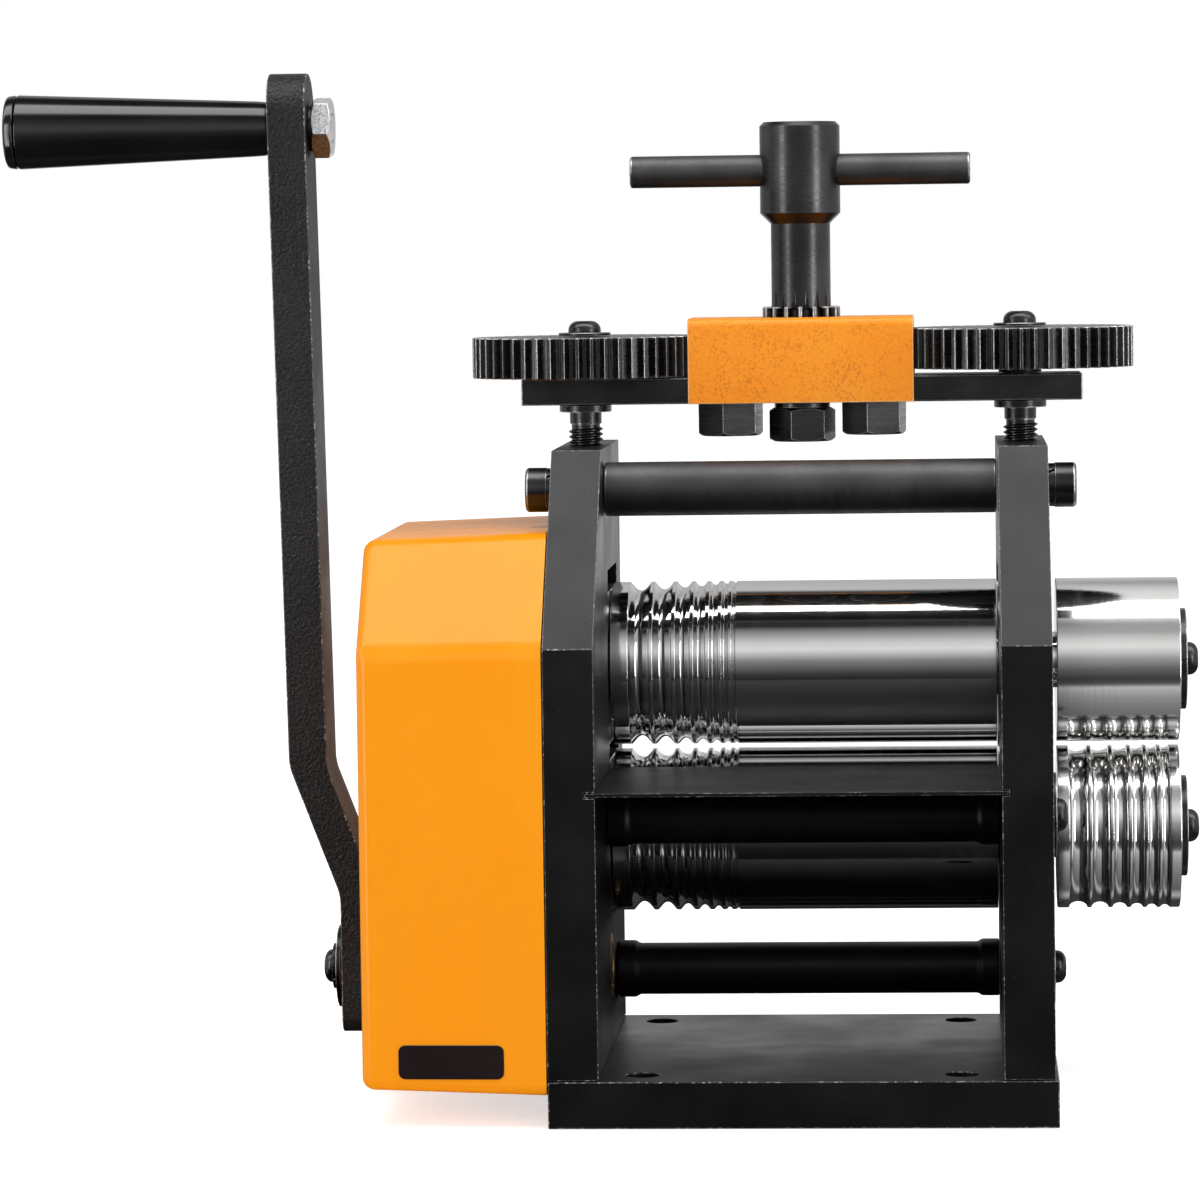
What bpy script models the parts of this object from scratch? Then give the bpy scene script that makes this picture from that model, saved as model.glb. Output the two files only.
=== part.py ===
"""Jewellers' combination rolling mill with wire grooves, side rolls and a reduction gearbox.

Metres, +Z up. X runs along the rolls, the working side faces -Y, and the origin is the
middle of the base plate's underside.
"""

import math

import bmesh
import bpy
from mathutils import Matrix, Vector

# Clearances and cutter overrun
SEAT_GAP = 0.0003
RUNNING_GAP = 0.0006
CUT_OVERRUN = 0.002
MERGE_SHARE = 1 / 30
SMOOTH_ANGLE = math.radians(32)

# Face counts
ROLL_SIDES = 16
ROD_SIDES = 10
HOLE_SIDES = 10
SCREW_SIDES = 10
SMALL_HOLE_SIDES = 8
HEX_SIDES = 6
DOME_STEPS = 2
DOME_RIM_SHARE = 0.25
DOME_CROWN_SHARE = 0.35
CORNER_STEPS = 2

# Base plate
BASE_RIGHT_LIP = 0.001
BASE_DEPTH = 0.126
BASE_THICKNESS = 0.013
MOUNT_HOLE_DIAMETER = 0.0093
MOUNT_HOLE_SPAN_X = 0.088
MOUNT_HOLE_SPAN_Y = 0.101

# Side frames
FRAME_THICKNESS = 0.014
FRAME_SHOULDER_HEIGHT = 0.119
FRAME_HEAD = 0.0353
FRAME_TOP_SETBACK = 0.046
FOOT_SCREW_SPAN = 0.086
FOOT_SCREW_DIAMETER = 0.006
FOOT_SCREW_REACH = 0.014
FOOT_HEAD_DIAMETER = 0.010
FOOT_HEAD_RECESS = 0.007

# Rolls
ROLL_DIAMETER = 0.047
ROLL_FACE_GAP = 0.0005
ROLL_SETBACK = 0.038
ROLL_HEIGHT = 0.060
ROLL_OPENING = 0.0012
ROLL_EDGE_BREAK = 0.0006
NECK_DIAMETER = 0.020
SPIGOT_DIAMETER = 0.016
WIRE_LAND_FIRST = 0.0049
WIRE_LAND = 0.00105
WIRE_GROOVE_LARGEST = 0.0060
WIRE_GROOVE_SHARES = (1.0, 0.9, 0.7, 0.57, 0.42, 0.3, 0.19)
WIRE_DEPTH_SHARE = 0.42
SIDE_ROLL_GAP = 0.0025
SIDE_LAND_FIRST = 0.0033
SIDE_LAND = 0.00115
SIDE_LAND_LAST = 0.0030
SIDE_GROOVE_LARGEST = 0.0053
SIDE_GROOVE_SHARES = (1.0, 0.925, 0.775, 0.642, 0.528, 0.453)
SIDE_DEPTH_SHARE = 0.34
SIDE_WASHER_DIAMETER = 0.029
SIDE_WASHER_THICKNESS = 0.002
SIDE_SCREW_REACH = 0.012

# Bearing blocks, bushes and lift springs
BLOCK_WIDTH = 0.041
BLOCK_HEIGHT = 0.0436
BUSH_DIAMETER = 0.028
LIFT_ROOM = 0.0062
SPRING_POCKET_DIAMETER = 0.009
SPRING_POCKET_DEPTH = 0.005
SPRING_DIAMETER = 0.0068
SPRING_WIRE = 0.0012
SPRING_TURNS = 4
SPRING_POINTS_PER_TURN = 8
SPRING_GAP_POINTS = 24

# Tie bars
TOP_TIE_DIAMETER = 0.0153
TOP_TIE_Y = -0.006
TOP_TIE_DROP = 0.0115
TIE_CHAMFER = 0.0008
CAP_HEAD_DIAMETER = 0.0126
CAP_HEAD_HEIGHT = 0.0062
TIE_SCREW_DIAMETER = 0.006
TIE_SCREW_REACH = 0.012
TOP_WASHER_DIAMETER = 0.0122
TOP_WASHER_THICKNESS = 0.0016
TIE_ROD_DIAMETER = 0.0150
TIE_COLLAR_DIAMETER = 0.0166
TIE_COLLAR_LENGTH = 0.005
TIE_COLLAR_TAPER = 0.0012
TIE_STUD_LENGTH = 0.012
FRONT_TIE_ROLL_GAP = 0.0011
FRONT_TIE_LIFT = 0.0068
REAR_TIE_Y = 0.030
REAR_TIE_HEIGHT = 0.0185
TIE_WASHER_DIAMETER = 0.024
TIE_WASHER_THICKNESS = 0.0015
BUTTON_HEAD_DIAMETER = 0.0095
BUTTON_HEAD_HEIGHT = 0.0033

# Feed shelf
SHELF_THICKNESS = 0.001
SHELF_DROP = 0.0046
SHELF_LET_IN_LEFT = 0.0028
SHELF_LET_IN_RIGHT = 0.0015
SHELF_SLOT_DEPTH = 0.066
SHELF_ROLL_CLEARANCE = 0.0015

# Gears of the roll drive
PRESSURE_ANGLE = math.radians(20)
ADDENDUM_SHARE = 0.92
DEDENDUM_SHARE = 1.2
TOOTH_WIDTH_SHARE = 0.93
DRIVE_MODULE = 0.002
DRIVE_GEAR_TEETH = 30
DRIVE_PINION_TEETH = 12
DRIVE_GEAR_WIDTH = 0.010
DRIVE_PINION_WIDTH = 0.012
DRIVE_TIMING_GAP = 0.002
TIMING_TEETH = 12
TIMING_TIP_RADIUS = 0.0280
TIMING_ROOT_RADIUS = 0.0185
TIMING_WIDTH = 0.014
TIMING_FRAME_GAP = 0.0075
TIMING_WIDTH_SHARES = (0.38, 0.41, 0.31, 0.19)
TIMING_HEIGHT_SHARES = (0.0, 0.5, 0.78, 1.0)
GEAR_SCREW_HEAD = 0.019
GEAR_SCREW_THICKNESS = 0.003

# Gear cover
COVER_GEAR_CLEARANCE = 0.0136
COVER_WALL = 0.0022
COVER_DRAFT = 0.0016
COVER_TIE_GAP = 0.0042
COVER_SKIRT = 0.0032
COVER_INNER_RADIUS = 0.0013
COVER_EDGE_SHARE = 0.75
COVER_BOSS_DIAMETER = 0.010
COVER_BOSS_INSET = 0.0085
COVER_BOSS_SLOPE_SHARE = 1.4
COVER_SCREW_DIAMETER = 0.004

# Crank
CRANK_AXIS_TURN = math.radians(28.8)
CRANK_SHAFT_DIAMETER = 0.012
CRANK_BUSH_DIAMETER = 0.018
CRANK_COVER_GAP = 0.0027
CRANK_RADIUS = 0.2400
CRANK_THICKNESS = 0.0105
CRANK_WIDTH = 0.027
CRANK_TAIL = 0.018
CRANK_HEAD = 0.0155
CRANK_BEND_START = 0.030
CRANK_BEND_END = 0.0625
CRANK_BEND_JOG = 0.0140
CRANK_LEAN = 0.0035
CRANK_TOP_SHARE = 0.926
CRANK_TAIL_SHARE = 0.37
CRANK_EDGE_BREAK = 0.0007
CRANK_WASHER_DIAMETER = 0.0235
CRANK_WASHER_THICKNESS = 0.0016
CRANK_LOCK_WASHER_DIAMETER = 0.013
CRANK_LOCK_WASHER_THICKNESS = 0.0016
CRANK_SCREW_DIAMETER = 0.005
CRANK_SCREW_REACH = 0.010

# Hand grip
GRIP_LENGTH = 0.0757
GRIP_END_DIAMETER = 0.0212
GRIP_ARM_DIAMETER = 0.0146
GRIP_CAP_LENGTH = 0.003
GRIP_CAP_CROWN = 0.0008
GRIP_ARM_GAP = 0.0006
GRIP_BOLT_DIAMETER = 0.008
GRIP_BOLT_HEAD_DIAMETER = 0.013
GRIP_BOLT_HEAD_HEIGHT = 0.005
GRIP_HEAD_DEPTH = 0.010
GRIP_NUT_FLATS = 0.015
GRIP_NUT_HEIGHT = 0.0068
GRIP_NUT_TURN = math.radians(-18)
GRIP_LOCK_WASHER_DIAMETER = 0.0132
GRIP_LOCK_WASHER_THICKNESS = 0.0016
NUT_LAP_SHARE = 0.25

# Screw-down bar, its gears and the tee handle
SCREW_DIAMETER = 0.010
SCREW_COLLAR_DIAMETER = 0.0092
SCREW_COLLAR_LENGTH = 0.0034
SCREW_FLANGE_DIAMETER = 0.015
SCREW_FLANGE_THICKNESS = 0.002
BAR_END = 0.0175
BAR_WIDTH = 0.028
BAR_THICKNESS = 0.0075
BAR_RISE = 0.0118
ADJUST_MODULE = 0.00125
SCREW_GEAR_TEETH = 50
IDLER_TEETH = 17
PINION_TEETH = 16
ADJUST_GEAR_WIDTH = 0.0116
RIGHT_GEAR_SPACER = 0.00135
SPACER_DIAMETER = 0.0123
GEAR_WASHER_DIAMETER = 0.015
GEAR_WASHER_THICKNESS = 0.0008
GEAR_SCREW_DIAMETER = 0.005
GEAR_SCREW_REACH = 0.008
GEAR_BUTTON_DIAMETER = 0.0094
GEAR_BUTTON_HEIGHT = 0.0034
GUARD_LENGTH = 0.0643
GUARD_HEIGHT = 0.0243
GUARD_SHEET = 0.0018
GUARD_INNER_BEND = 0.0006
GUARD_SCREW_SPAN = 0.040
GUARD_SCREW_DIAMETER = 0.003
GUARD_SCREW_REACH = 0.006
IDLER_BOLT_DIAMETER = 0.008
IDLER_HEX_FLATS = 0.0168
IDLER_HEX_HEIGHT = 0.0093
IDLER_HEX_TURN = math.radians(-11)
SPINDLE_JOURNAL_DIAMETER = 0.010
SPINDLE_SHAFT_DIAMETER = 0.017
SPINDLE_HEAD_DIAMETER = 0.023
SPINDLE_HEAD_BOTTOM = 0.0465
SPINDLE_HEAD_LENGTH = 0.0261
SPINDLE_HEAD_TAPER = 0.003
SPINDLE_CHAMFER = 0.0012
PINION_LENGTH = 0.0195
SPINDLE_HEX_FLATS = 0.0168
SPINDLE_HEX_HEIGHT = 0.0097
SPINDLE_HEX_TURN = math.radians(-18)
SPINDLE_WASHER_DIAMETER = 0.016
SPINDLE_WASHER_THICKNESS = 0.0014
TEE_BAR_DIAMETER = 0.0091
TEE_BAR_LENGTH = 0.0975
TEE_BAR_DROP = 0.0138
HEX_CHAMFER_SHARE = 0.08

# Places worked out from the sizes above
MERGE_DISTANCE = SEAT_GAP * MERGE_SHARE
IDLER_X = ADJUST_MODULE * (PINION_TEETH + IDLER_TEETH) / 2
SCREW_X = IDLER_X + ADJUST_MODULE * (IDLER_TEETH + SCREW_GEAR_TEETH) / 2
FRAME_SPACING = 2 * SCREW_X
BASE_TOP = BASE_THICKNESS
FRAME_FOOT = BASE_TOP + SEAT_GAP
FRAME_INNER = (FRAME_SPACING - FRAME_THICKNESS) / 2
FRAME_OUTER = (FRAME_SPACING + FRAME_THICKNESS) / 2
FRONT = -BASE_DEPTH / 2
BACK = BASE_DEPTH / 2
SLOPE_TOP_Y = FRONT + FRAME_TOP_SETBACK
SHOULDER_Z = BASE_TOP + FRAME_SHOULDER_HEIGHT
ROLL_Y = BACK - ROLL_SETBACK
LOWER_Z = BASE_TOP + ROLL_HEIGHT
UPPER_Z = LOWER_Z + ROLL_DIAMETER + ROLL_OPENING
WINDOW_HALF_WIDTH = BLOCK_WIDTH / 2 + SEAT_GAP
WINDOW_BOTTOM = LOWER_Z - BLOCK_HEIGHT / 2 - SEAT_GAP
WINDOW_TOP = UPPER_Z + BLOCK_HEIGHT / 2 + LIFT_ROOM
FRAME_TOP = WINDOW_TOP + FRAME_HEAD
SIDE_ROLL_X = FRAME_OUTER + SIDE_ROLL_GAP
SIDE_GROOVES = SIDE_GROOVE_LARGEST * sum(SIDE_GROOVE_SHARES)
SIDE_LANDS = SIDE_LAND_FIRST + SIDE_LAND * (len(SIDE_GROOVE_SHARES) - 1) + SIDE_LAND_LAST
SIDE_ROLL_END = SIDE_ROLL_X + SIDE_GROOVES + SIDE_LANDS
FRONT_TIE_REACH = (ROLL_DIAMETER + TIE_COLLAR_DIAMETER) / 2 + FRONT_TIE_ROLL_GAP
FRONT_TIE_Y = ROLL_Y - math.sqrt(FRONT_TIE_REACH**2 - FRONT_TIE_LIFT**2)
TIMING_GEAR_X = -FRAME_OUTER - TIMING_FRAME_GAP
DRIVE_GEAR_X = TIMING_GEAR_X - TIMING_WIDTH - DRIVE_TIMING_GAP
DRIVE_CENTRES = DRIVE_MODULE * (DRIVE_GEAR_TEETH + DRIVE_PINION_TEETH) / 2
CRANK_Z = LOWER_Z - DRIVE_CENTRES * math.cos(CRANK_AXIS_TURN)
CRANK_Y = ROLL_Y - DRIVE_CENTRES * math.sin(CRANK_AXIS_TURN)
COVER_OPEN_X = -FRAME_OUTER - SEAT_GAP
COVER_FACE_X = DRIVE_GEAR_X - DRIVE_GEAR_WIDTH - COVER_GEAR_CLEARANCE - COVER_WALL
COVER_TOP = FRAME_TOP - TOP_TIE_DROP - CAP_HEAD_DIAMETER / 2 - COVER_TIE_GAP
COVER_BOTTOM = BASE_TOP - COVER_SKIRT
CRANK_INNER_X = COVER_FACE_X - CRANK_COVER_GAP
GRIP_Z = CRANK_Z + CRANK_RADIUS
ARM_SLANT = CRANK_LEAN / (CRANK_RADIUS + CRANK_HEAD - CRANK_BEND_END)
ARM_GRIP_INNER_X = CRANK_INNER_X - CRANK_BEND_JOG - ARM_SLANT * (CRANK_RADIUS - CRANK_BEND_END)
ARM_GRIP_OUTER_X = ARM_GRIP_INNER_X - CRANK_THICKNESS
GRIP_START_X = ARM_GRIP_OUTER_X - GRIP_ARM_GAP
GRIP_END_X = GRIP_START_X - GRIP_LENGTH
BAR_LENGTH = 2 * (SCREW_X + BAR_END)
BAR_BOTTOM = FRAME_TOP + BAR_RISE
BAR_TOP = BAR_BOTTOM + BAR_THICKNESS
GEAR_BOTTOM = BAR_TOP + SEAT_GAP
GEAR_TOP = GEAR_BOTTOM + ADJUST_GEAR_WIDTH
GUARD_INNER_Y = BAR_WIDTH / 2 + SEAT_GAP
GUARD_OUTER_Y = GUARD_INNER_Y + GUARD_SHEET
GUARD_TOP = BAR_BOTTOM + GUARD_HEIGHT
SHELF_Z = LOWER_Z + ROLL_DIAMETER / 2 - SHELF_DROP

FULL_TURN = 2 * math.pi
MILLIMETRES = 1000

AXIS_TURNS = {
    "X": Matrix(((0, 0, 1), (1, 0, 0), (0, 1, 0))).to_4x4(),
    "Y": Matrix(((0, 1, 0), (0, 0, 1), (1, 0, 0))).to_4x4(),
    "Z": Matrix.Identity(4),
}

FINISHES = {
    "black_paint": ((0.012, 0.012, 0.013), 0.55, 0.0),
    "black_textured_paint": ((0.016, 0.016, 0.017), 0.65, 0.0),
    "black_oxide": ((0.02, 0.02, 0.021), 0.35, 0.8),
    "polished_steel": ((0.62, 0.61, 0.60), 0.12, 1.0),
    "orange_paint": ((1.0, 0.35, 0.005), 0.4, 0.0),
    "orange_plastic": ((1.0, 0.35, 0.005), 0.3, 0.0),
    "black_plastic": ((0.01, 0.01, 0.011), 0.2, 0.0),
    "zinc_plate": ((0.66, 0.66, 0.68), 0.3, 1.0),
    "bronze": ((0.55, 0.33, 0.12), 0.35, 1.0),
    "gear_steel": ((0.28, 0.28, 0.29), 0.4, 1.0),
    "spring_steel": ((0.2, 0.2, 0.21), 0.35, 1.0),
}


def clear_scene():
    """Remove whatever the scene holds."""
    for item in list(bpy.data.objects):
        bpy.data.objects.remove(item, do_unlink=True)


def finish_material(piece_name, finish):
    """A Principled material of one finish, named after its piece."""
    colour, roughness, metallic = FINISHES[finish]
    material = bpy.data.materials.new(piece_name + "_" + finish)
    material.use_nodes = True
    shader = material.node_tree.nodes["Principled BSDF"]
    shader.inputs["Base Color"].default_value = (*colour, 1.0)
    shader.inputs["Roughness"].default_value = roughness
    shader.inputs["Metallic"].default_value = metallic
    return material


def joint_frame(name, at, parent=None):
    """An empty on a joint's axis, carrying the pieces that move together."""
    frame = bpy.data.objects.new(name + "_axis", None)
    bpy.context.scene.collection.objects.link(frame)
    frame["place"] = tuple(at)
    if parent is not None:
        frame.parent = parent
        frame.location = Vector(at) - Vector(parent["place"])
    else:
        frame.location = at
    return frame


def add_piece(name, bm, finish, frame, at, smooth=True):
    """Turn a finished bmesh into a named piece carried by a joint frame."""
    bmesh.ops.remove_doubles(bm, verts=bm.verts, dist=MERGE_DISTANCE)
    bmesh.ops.recalc_face_normals(bm, faces=bm.faces)
    mesh = bpy.data.meshes.new(name)
    bm.to_mesh(mesh)
    bm.free()
    if smooth:
        mesh.shade_smooth()
        mesh.set_sharp_from_angle(angle=SMOOTH_ANGLE)
    mesh.materials.append(finish_material(name, finish))
    piece = bpy.data.objects.new(name, mesh)
    bpy.context.scene.collection.objects.link(piece)
    piece.parent = frame
    piece.location = Vector(at) - Vector(frame["place"])
    return piece


def add_cutter(name, bm, carrier):
    """A hidden mesh in a piece's own space that a Boolean uses."""
    bmesh.ops.remove_doubles(bm, verts=bm.verts, dist=MERGE_DISTANCE)
    bmesh.ops.recalc_face_normals(bm, faces=bm.faces)
    mesh = bpy.data.meshes.new(name)
    bm.to_mesh(mesh)
    bm.free()
    cutter = bpy.data.objects.new(name, mesh)
    bpy.context.scene.collection.objects.link(cutter)
    cutter.parent = carrier
    cutter.hide_render = True
    cutter.display_type = "WIRE"
    return cutter


def boolean(piece, cutter, operation):
    """Cut or join one hidden mesh with a piece."""
    step = piece.modifiers.new(operation.lower(), "BOOLEAN")
    step.operation = operation
    step.object = cutter
    step.solver = "EXACT"


def circle_points(radius, sides, centre=(0, 0), turn=0.0):
    """Corners of a regular polygon that stands for a circle."""
    return [
        (
            centre[0] + radius * math.cos(turn + FULL_TURN * i / sides),
            centre[1] + radius * math.sin(turn + FULL_TURN * i / sides),
        )
        for i in range(sides)
    ]


def rectangle_points(low, high):
    """Corners of an upright rectangle."""
    return [(low[0], low[1]), (high[0], low[1]), (high[0], high[1]), (low[0], high[1])]


def hexagon_points(flats, turn=0.0):
    """Corners of a hexagon of a given width across its flats."""
    return circle_points(flats / math.sqrt(3), HEX_SIDES, turn=turn)


def prism(bm, outline, holes, start, length, axis="Z"):
    """Extrude a flat outline with holes along an axis.

    On X the outline reads (Y, Z), on Y it reads (Z, X) and on Z it reads (X, Y).
    """
    turn = AXIS_TURNS[axis]
    edges = []
    for loop in [outline, *holes]:
        corners = [bm.verts.new(turn @ Vector((p[0], p[1], start))) for p in loop]
        for i, corner in enumerate(corners):
            edges.append(bm.edges.new((corner, corners[(i + 1) % len(corners)])))
    filled = bmesh.ops.triangle_fill(bm, use_beauty=True, use_dissolve=False, edges=edges)
    faces = [item for item in filled["geom"] if isinstance(item, bmesh.types.BMFace)]
    raised = bmesh.ops.extrude_face_region(bm, geom=faces, use_keep_orig=True)
    moved = [item for item in raised["geom"] if isinstance(item, bmesh.types.BMVert)]
    bmesh.ops.translate(bm, verts=moved, vec=turn.to_3x3() @ Vector((0, 0, length)))
    return bm


def revolve(bm, profile, sides, axis="X", closed=False, centre=(0, 0, 0)):
    """Turn a profile of (place along the axis, radius) pairs about an axis."""
    turn = AXIS_TURNS[axis]
    middle = Vector(centre)
    corners = [bm.verts.new(middle + turn @ Vector((r, 0, along))) for along, r in profile]
    edges = [bm.edges.new(pair) for pair in zip(corners, corners[1:])]
    if closed:
        edges.append(bm.edges.new((corners[-1], corners[0])))
    bmesh.ops.spin(
        bm,
        geom=corners + edges,
        cent=middle,
        axis=turn.to_3x3() @ Vector((0, 0, 1)),
        angle=FULL_TURN,
        steps=sides,
        use_merge=True,
    )
    bmesh.ops.remove_doubles(bm, verts=bm.verts, dist=MERGE_DISTANCE)
    return bm


def rod_profile(start, length, radius, chamfer=0.0):
    """A round bar with chamfered ends, closed on its axis."""
    end = start + length
    if chamfer == 0.0:
        return [(start, 0), (start, radius), (end, radius), (end, 0)]
    return [
        (start, 0),
        (start, radius - chamfer),
        (start + chamfer, radius),
        (end - chamfer, radius),
        (end, radius - chamfer),
        (end, 0),
    ]


def ring_profile(start, length, outer, inner):
    """A washer or bush as a closed loop."""
    end = start + length
    return [(start, inner), (start, outer), (end, outer), (end, inner)]


def dome_steps(head_diameter, head_height):
    """Rise and radius of a domed head from its seat to its crown."""
    rim = head_height * DOME_RIM_SHARE
    steps = [(rim, head_diameter / 2)]
    for i in range(1, DOME_STEPS + 1):
        angle = math.pi / 2 * i / (DOME_STEPS + 1)
        rise = rim + (head_height - rim) * math.sin(angle)
        share = DOME_CROWN_SHARE + (1 - DOME_CROWN_SHARE) * math.cos(angle)
        steps.append((rise, head_diameter / 2 * share))
    steps.append((head_height, 0))
    return steps


def button_profile(seat, direction, head_diameter, head_height, shank_diameter, reach):
    """A domed screw head on its seat, with its shank behind it."""
    tip = seat - direction * reach
    points = [(tip, 0), (tip, shank_diameter / 2), (seat, shank_diameter / 2)]
    points.append((seat, head_diameter / 2))
    for rise, radius in dome_steps(head_diameter, head_height):
        points.append((seat + direction * rise, radius))
    return points


def rounded_outline(corners, radii, steps):
    """Round each corner of a polygon by its own radius."""
    points = []
    count = len(corners)
    for i, corner in enumerate(corners):
        here = Vector(corner)
        if radii[i] == 0:
            points.append(tuple(here))
            continue
        before = (Vector(corners[i - 1]) - here).normalized()
        after = (Vector(corners[(i + 1) % count]) - here).normalized()
        half = before.angle(after) / 2
        back_off = radii[i] / math.tan(half)
        centre = here + (before + after).normalized() * (radii[i] / math.sin(half))
        start = here + before * back_off - centre
        end = here + after * back_off - centre
        sweep = start.angle_signed(end)
        for k in range(steps + 1):
            turned = start.copy()
            turned.rotate(Matrix.Rotation(-sweep * k / steps, 2))
            points.append(tuple(centre + turned))
    return points


def involute_gear_points(module, teeth, phase, steps=2):
    """Outline of an involute gear whose first tooth stands at the phase angle."""
    pitch_radius = module * teeth / 2
    base_radius = pitch_radius * math.cos(PRESSURE_ANGLE)
    tip_radius = pitch_radius + ADDENDUM_SHARE * module
    root_radius = pitch_radius - DEDENDUM_SHARE * module
    half_tooth = math.pi / (2 * teeth) * TOOTH_WIDTH_SHARE
    flare = math.tan(PRESSURE_ANGLE) - PRESSURE_ANGLE

    def half_angle(radius):
        if radius <= base_radius:
            return half_tooth + flare
        alpha = math.acos(base_radius / radius)
        return half_tooth + flare - (math.tan(alpha) - alpha)

    radii = [root_radius + (tip_radius - root_radius) * i / steps for i in range(steps + 1)]
    flank = [(radius, half_angle(radius)) for radius in radii]
    points = []
    for tooth in range(teeth):
        middle = phase + FULL_TURN * tooth / teeth
        for radius, angle in flank:
            points.append((radius * math.cos(middle - angle), radius * math.sin(middle - angle)))
        for radius, angle in reversed(flank):
            points.append((radius * math.cos(middle + angle), radius * math.sin(middle + angle)))
    return points


def timing_gear_points(phase):
    """Outline of a long-toothed gear that stays in mesh while the rolls move apart."""
    pitch_angle = FULL_TURN / TIMING_TEETH
    reach = TIMING_TIP_RADIUS - TIMING_ROOT_RADIUS
    reference = (TIMING_TIP_RADIUS + TIMING_ROOT_RADIUS) / 2
    points = []
    for tooth in range(TIMING_TEETH):
        middle = phase + pitch_angle * tooth
        flank = []
        for height, width in zip(TIMING_HEIGHT_SHARES, TIMING_WIDTH_SHARES):
            radius = TIMING_ROOT_RADIUS + reach * height
            angle = width * pitch_angle * reference / radius / 2
            flank.append((radius, angle))
        for radius, angle in flank:
            points.append((radius * math.cos(middle - angle), radius * math.sin(middle - angle)))
        for radius, angle in reversed(flank):
            points.append((radius * math.cos(middle + angle), radius * math.sin(middle + angle)))
    return points


def frame_outline():
    """Side frame seen along X: an upright plate with its front corner cut back."""
    return [
        (FRONT, FRAME_FOOT),
        (BACK, FRAME_FOOT),
        (BACK, FRAME_TOP),
        (SLOPE_TOP_Y, FRAME_TOP),
        (FRONT, SHOULDER_Z),
    ]


def cover_boss_places():
    """Where the four cover screws stand, as (Y, Z)."""
    low = COVER_BOTTOM + COVER_WALL + COVER_BOSS_INSET
    high = COVER_TOP - COVER_WALL - COVER_BOSS_INSET
    side = BACK - COVER_WALL - COVER_BOSS_INSET
    slope_back = (high - SHOULDER_Z) * FRAME_TOP_SETBACK / (FRAME_TOP - SHOULDER_Z)
    front_high = FRONT + slope_back + COVER_WALL + COVER_BOSS_INSET * COVER_BOSS_SLOPE_SHARE
    return [(-side, low), (side, low), (side, high), (front_high, high)]


def tie_places():
    """Axes of the two tie rods, as (Y, Z)."""
    front = (FRONT_TIE_Y, LOWER_Z + FRONT_TIE_LIFT)
    rear = (REAR_TIE_Y, BASE_TOP + REAR_TIE_HEIGHT)
    return [front, rear]


def top_tie_place():
    """Axis of the top tie bar, as (Y, Z)."""
    return (TOP_TIE_Y, FRAME_TOP - TOP_TIE_DROP)


def build_base(root):
    """Base plate with its four bench holes and the recessed holes for the frames' screws."""
    left = -FRAME_OUTER
    right = FRAME_OUTER + BASE_RIGHT_LIP
    holes = []
    for sx in (-1, 1):
        for sy in (-1, 1):
            centre = (sx * MOUNT_HOLE_SPAN_X / 2, sy * MOUNT_HOLE_SPAN_Y / 2)
            holes.append(circle_points(MOUNT_HOLE_DIAMETER / 2, HOLE_SIDES, centre))
    screw_centres = [
        (sx * FRAME_SPACING / 2, sy * FOOT_SCREW_SPAN / 2) for sx in (-1, 1) for sy in (-1, 1)
    ]
    for centre in screw_centres:
        holes.append(circle_points(FOOT_SCREW_DIAMETER / 2 + SEAT_GAP, SMALL_HOLE_SIDES, centre))
    bm = bmesh.new()
    prism(bm, rectangle_points((left, FRONT), (right, BACK)), holes, 0, BASE_THICKNESS)
    plate = add_piece("base_plate", bm, "black_paint", root, (0, 0, 0))
    recess = bmesh.new()
    for x, y in screw_centres:
        seat = FOOT_HEAD_RECESS
        depth = seat + CUT_OVERRUN
        rim = rod_profile(-CUT_OVERRUN, depth, FOOT_HEAD_DIAMETER / 2 + SEAT_GAP)
        revolve(recess, rim, SMALL_HOLE_SIDES, "Z", centre=(x, y, 0))
    boolean(plate, add_cutter("base_recess_cutter", recess, plate), "DIFFERENCE")


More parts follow.
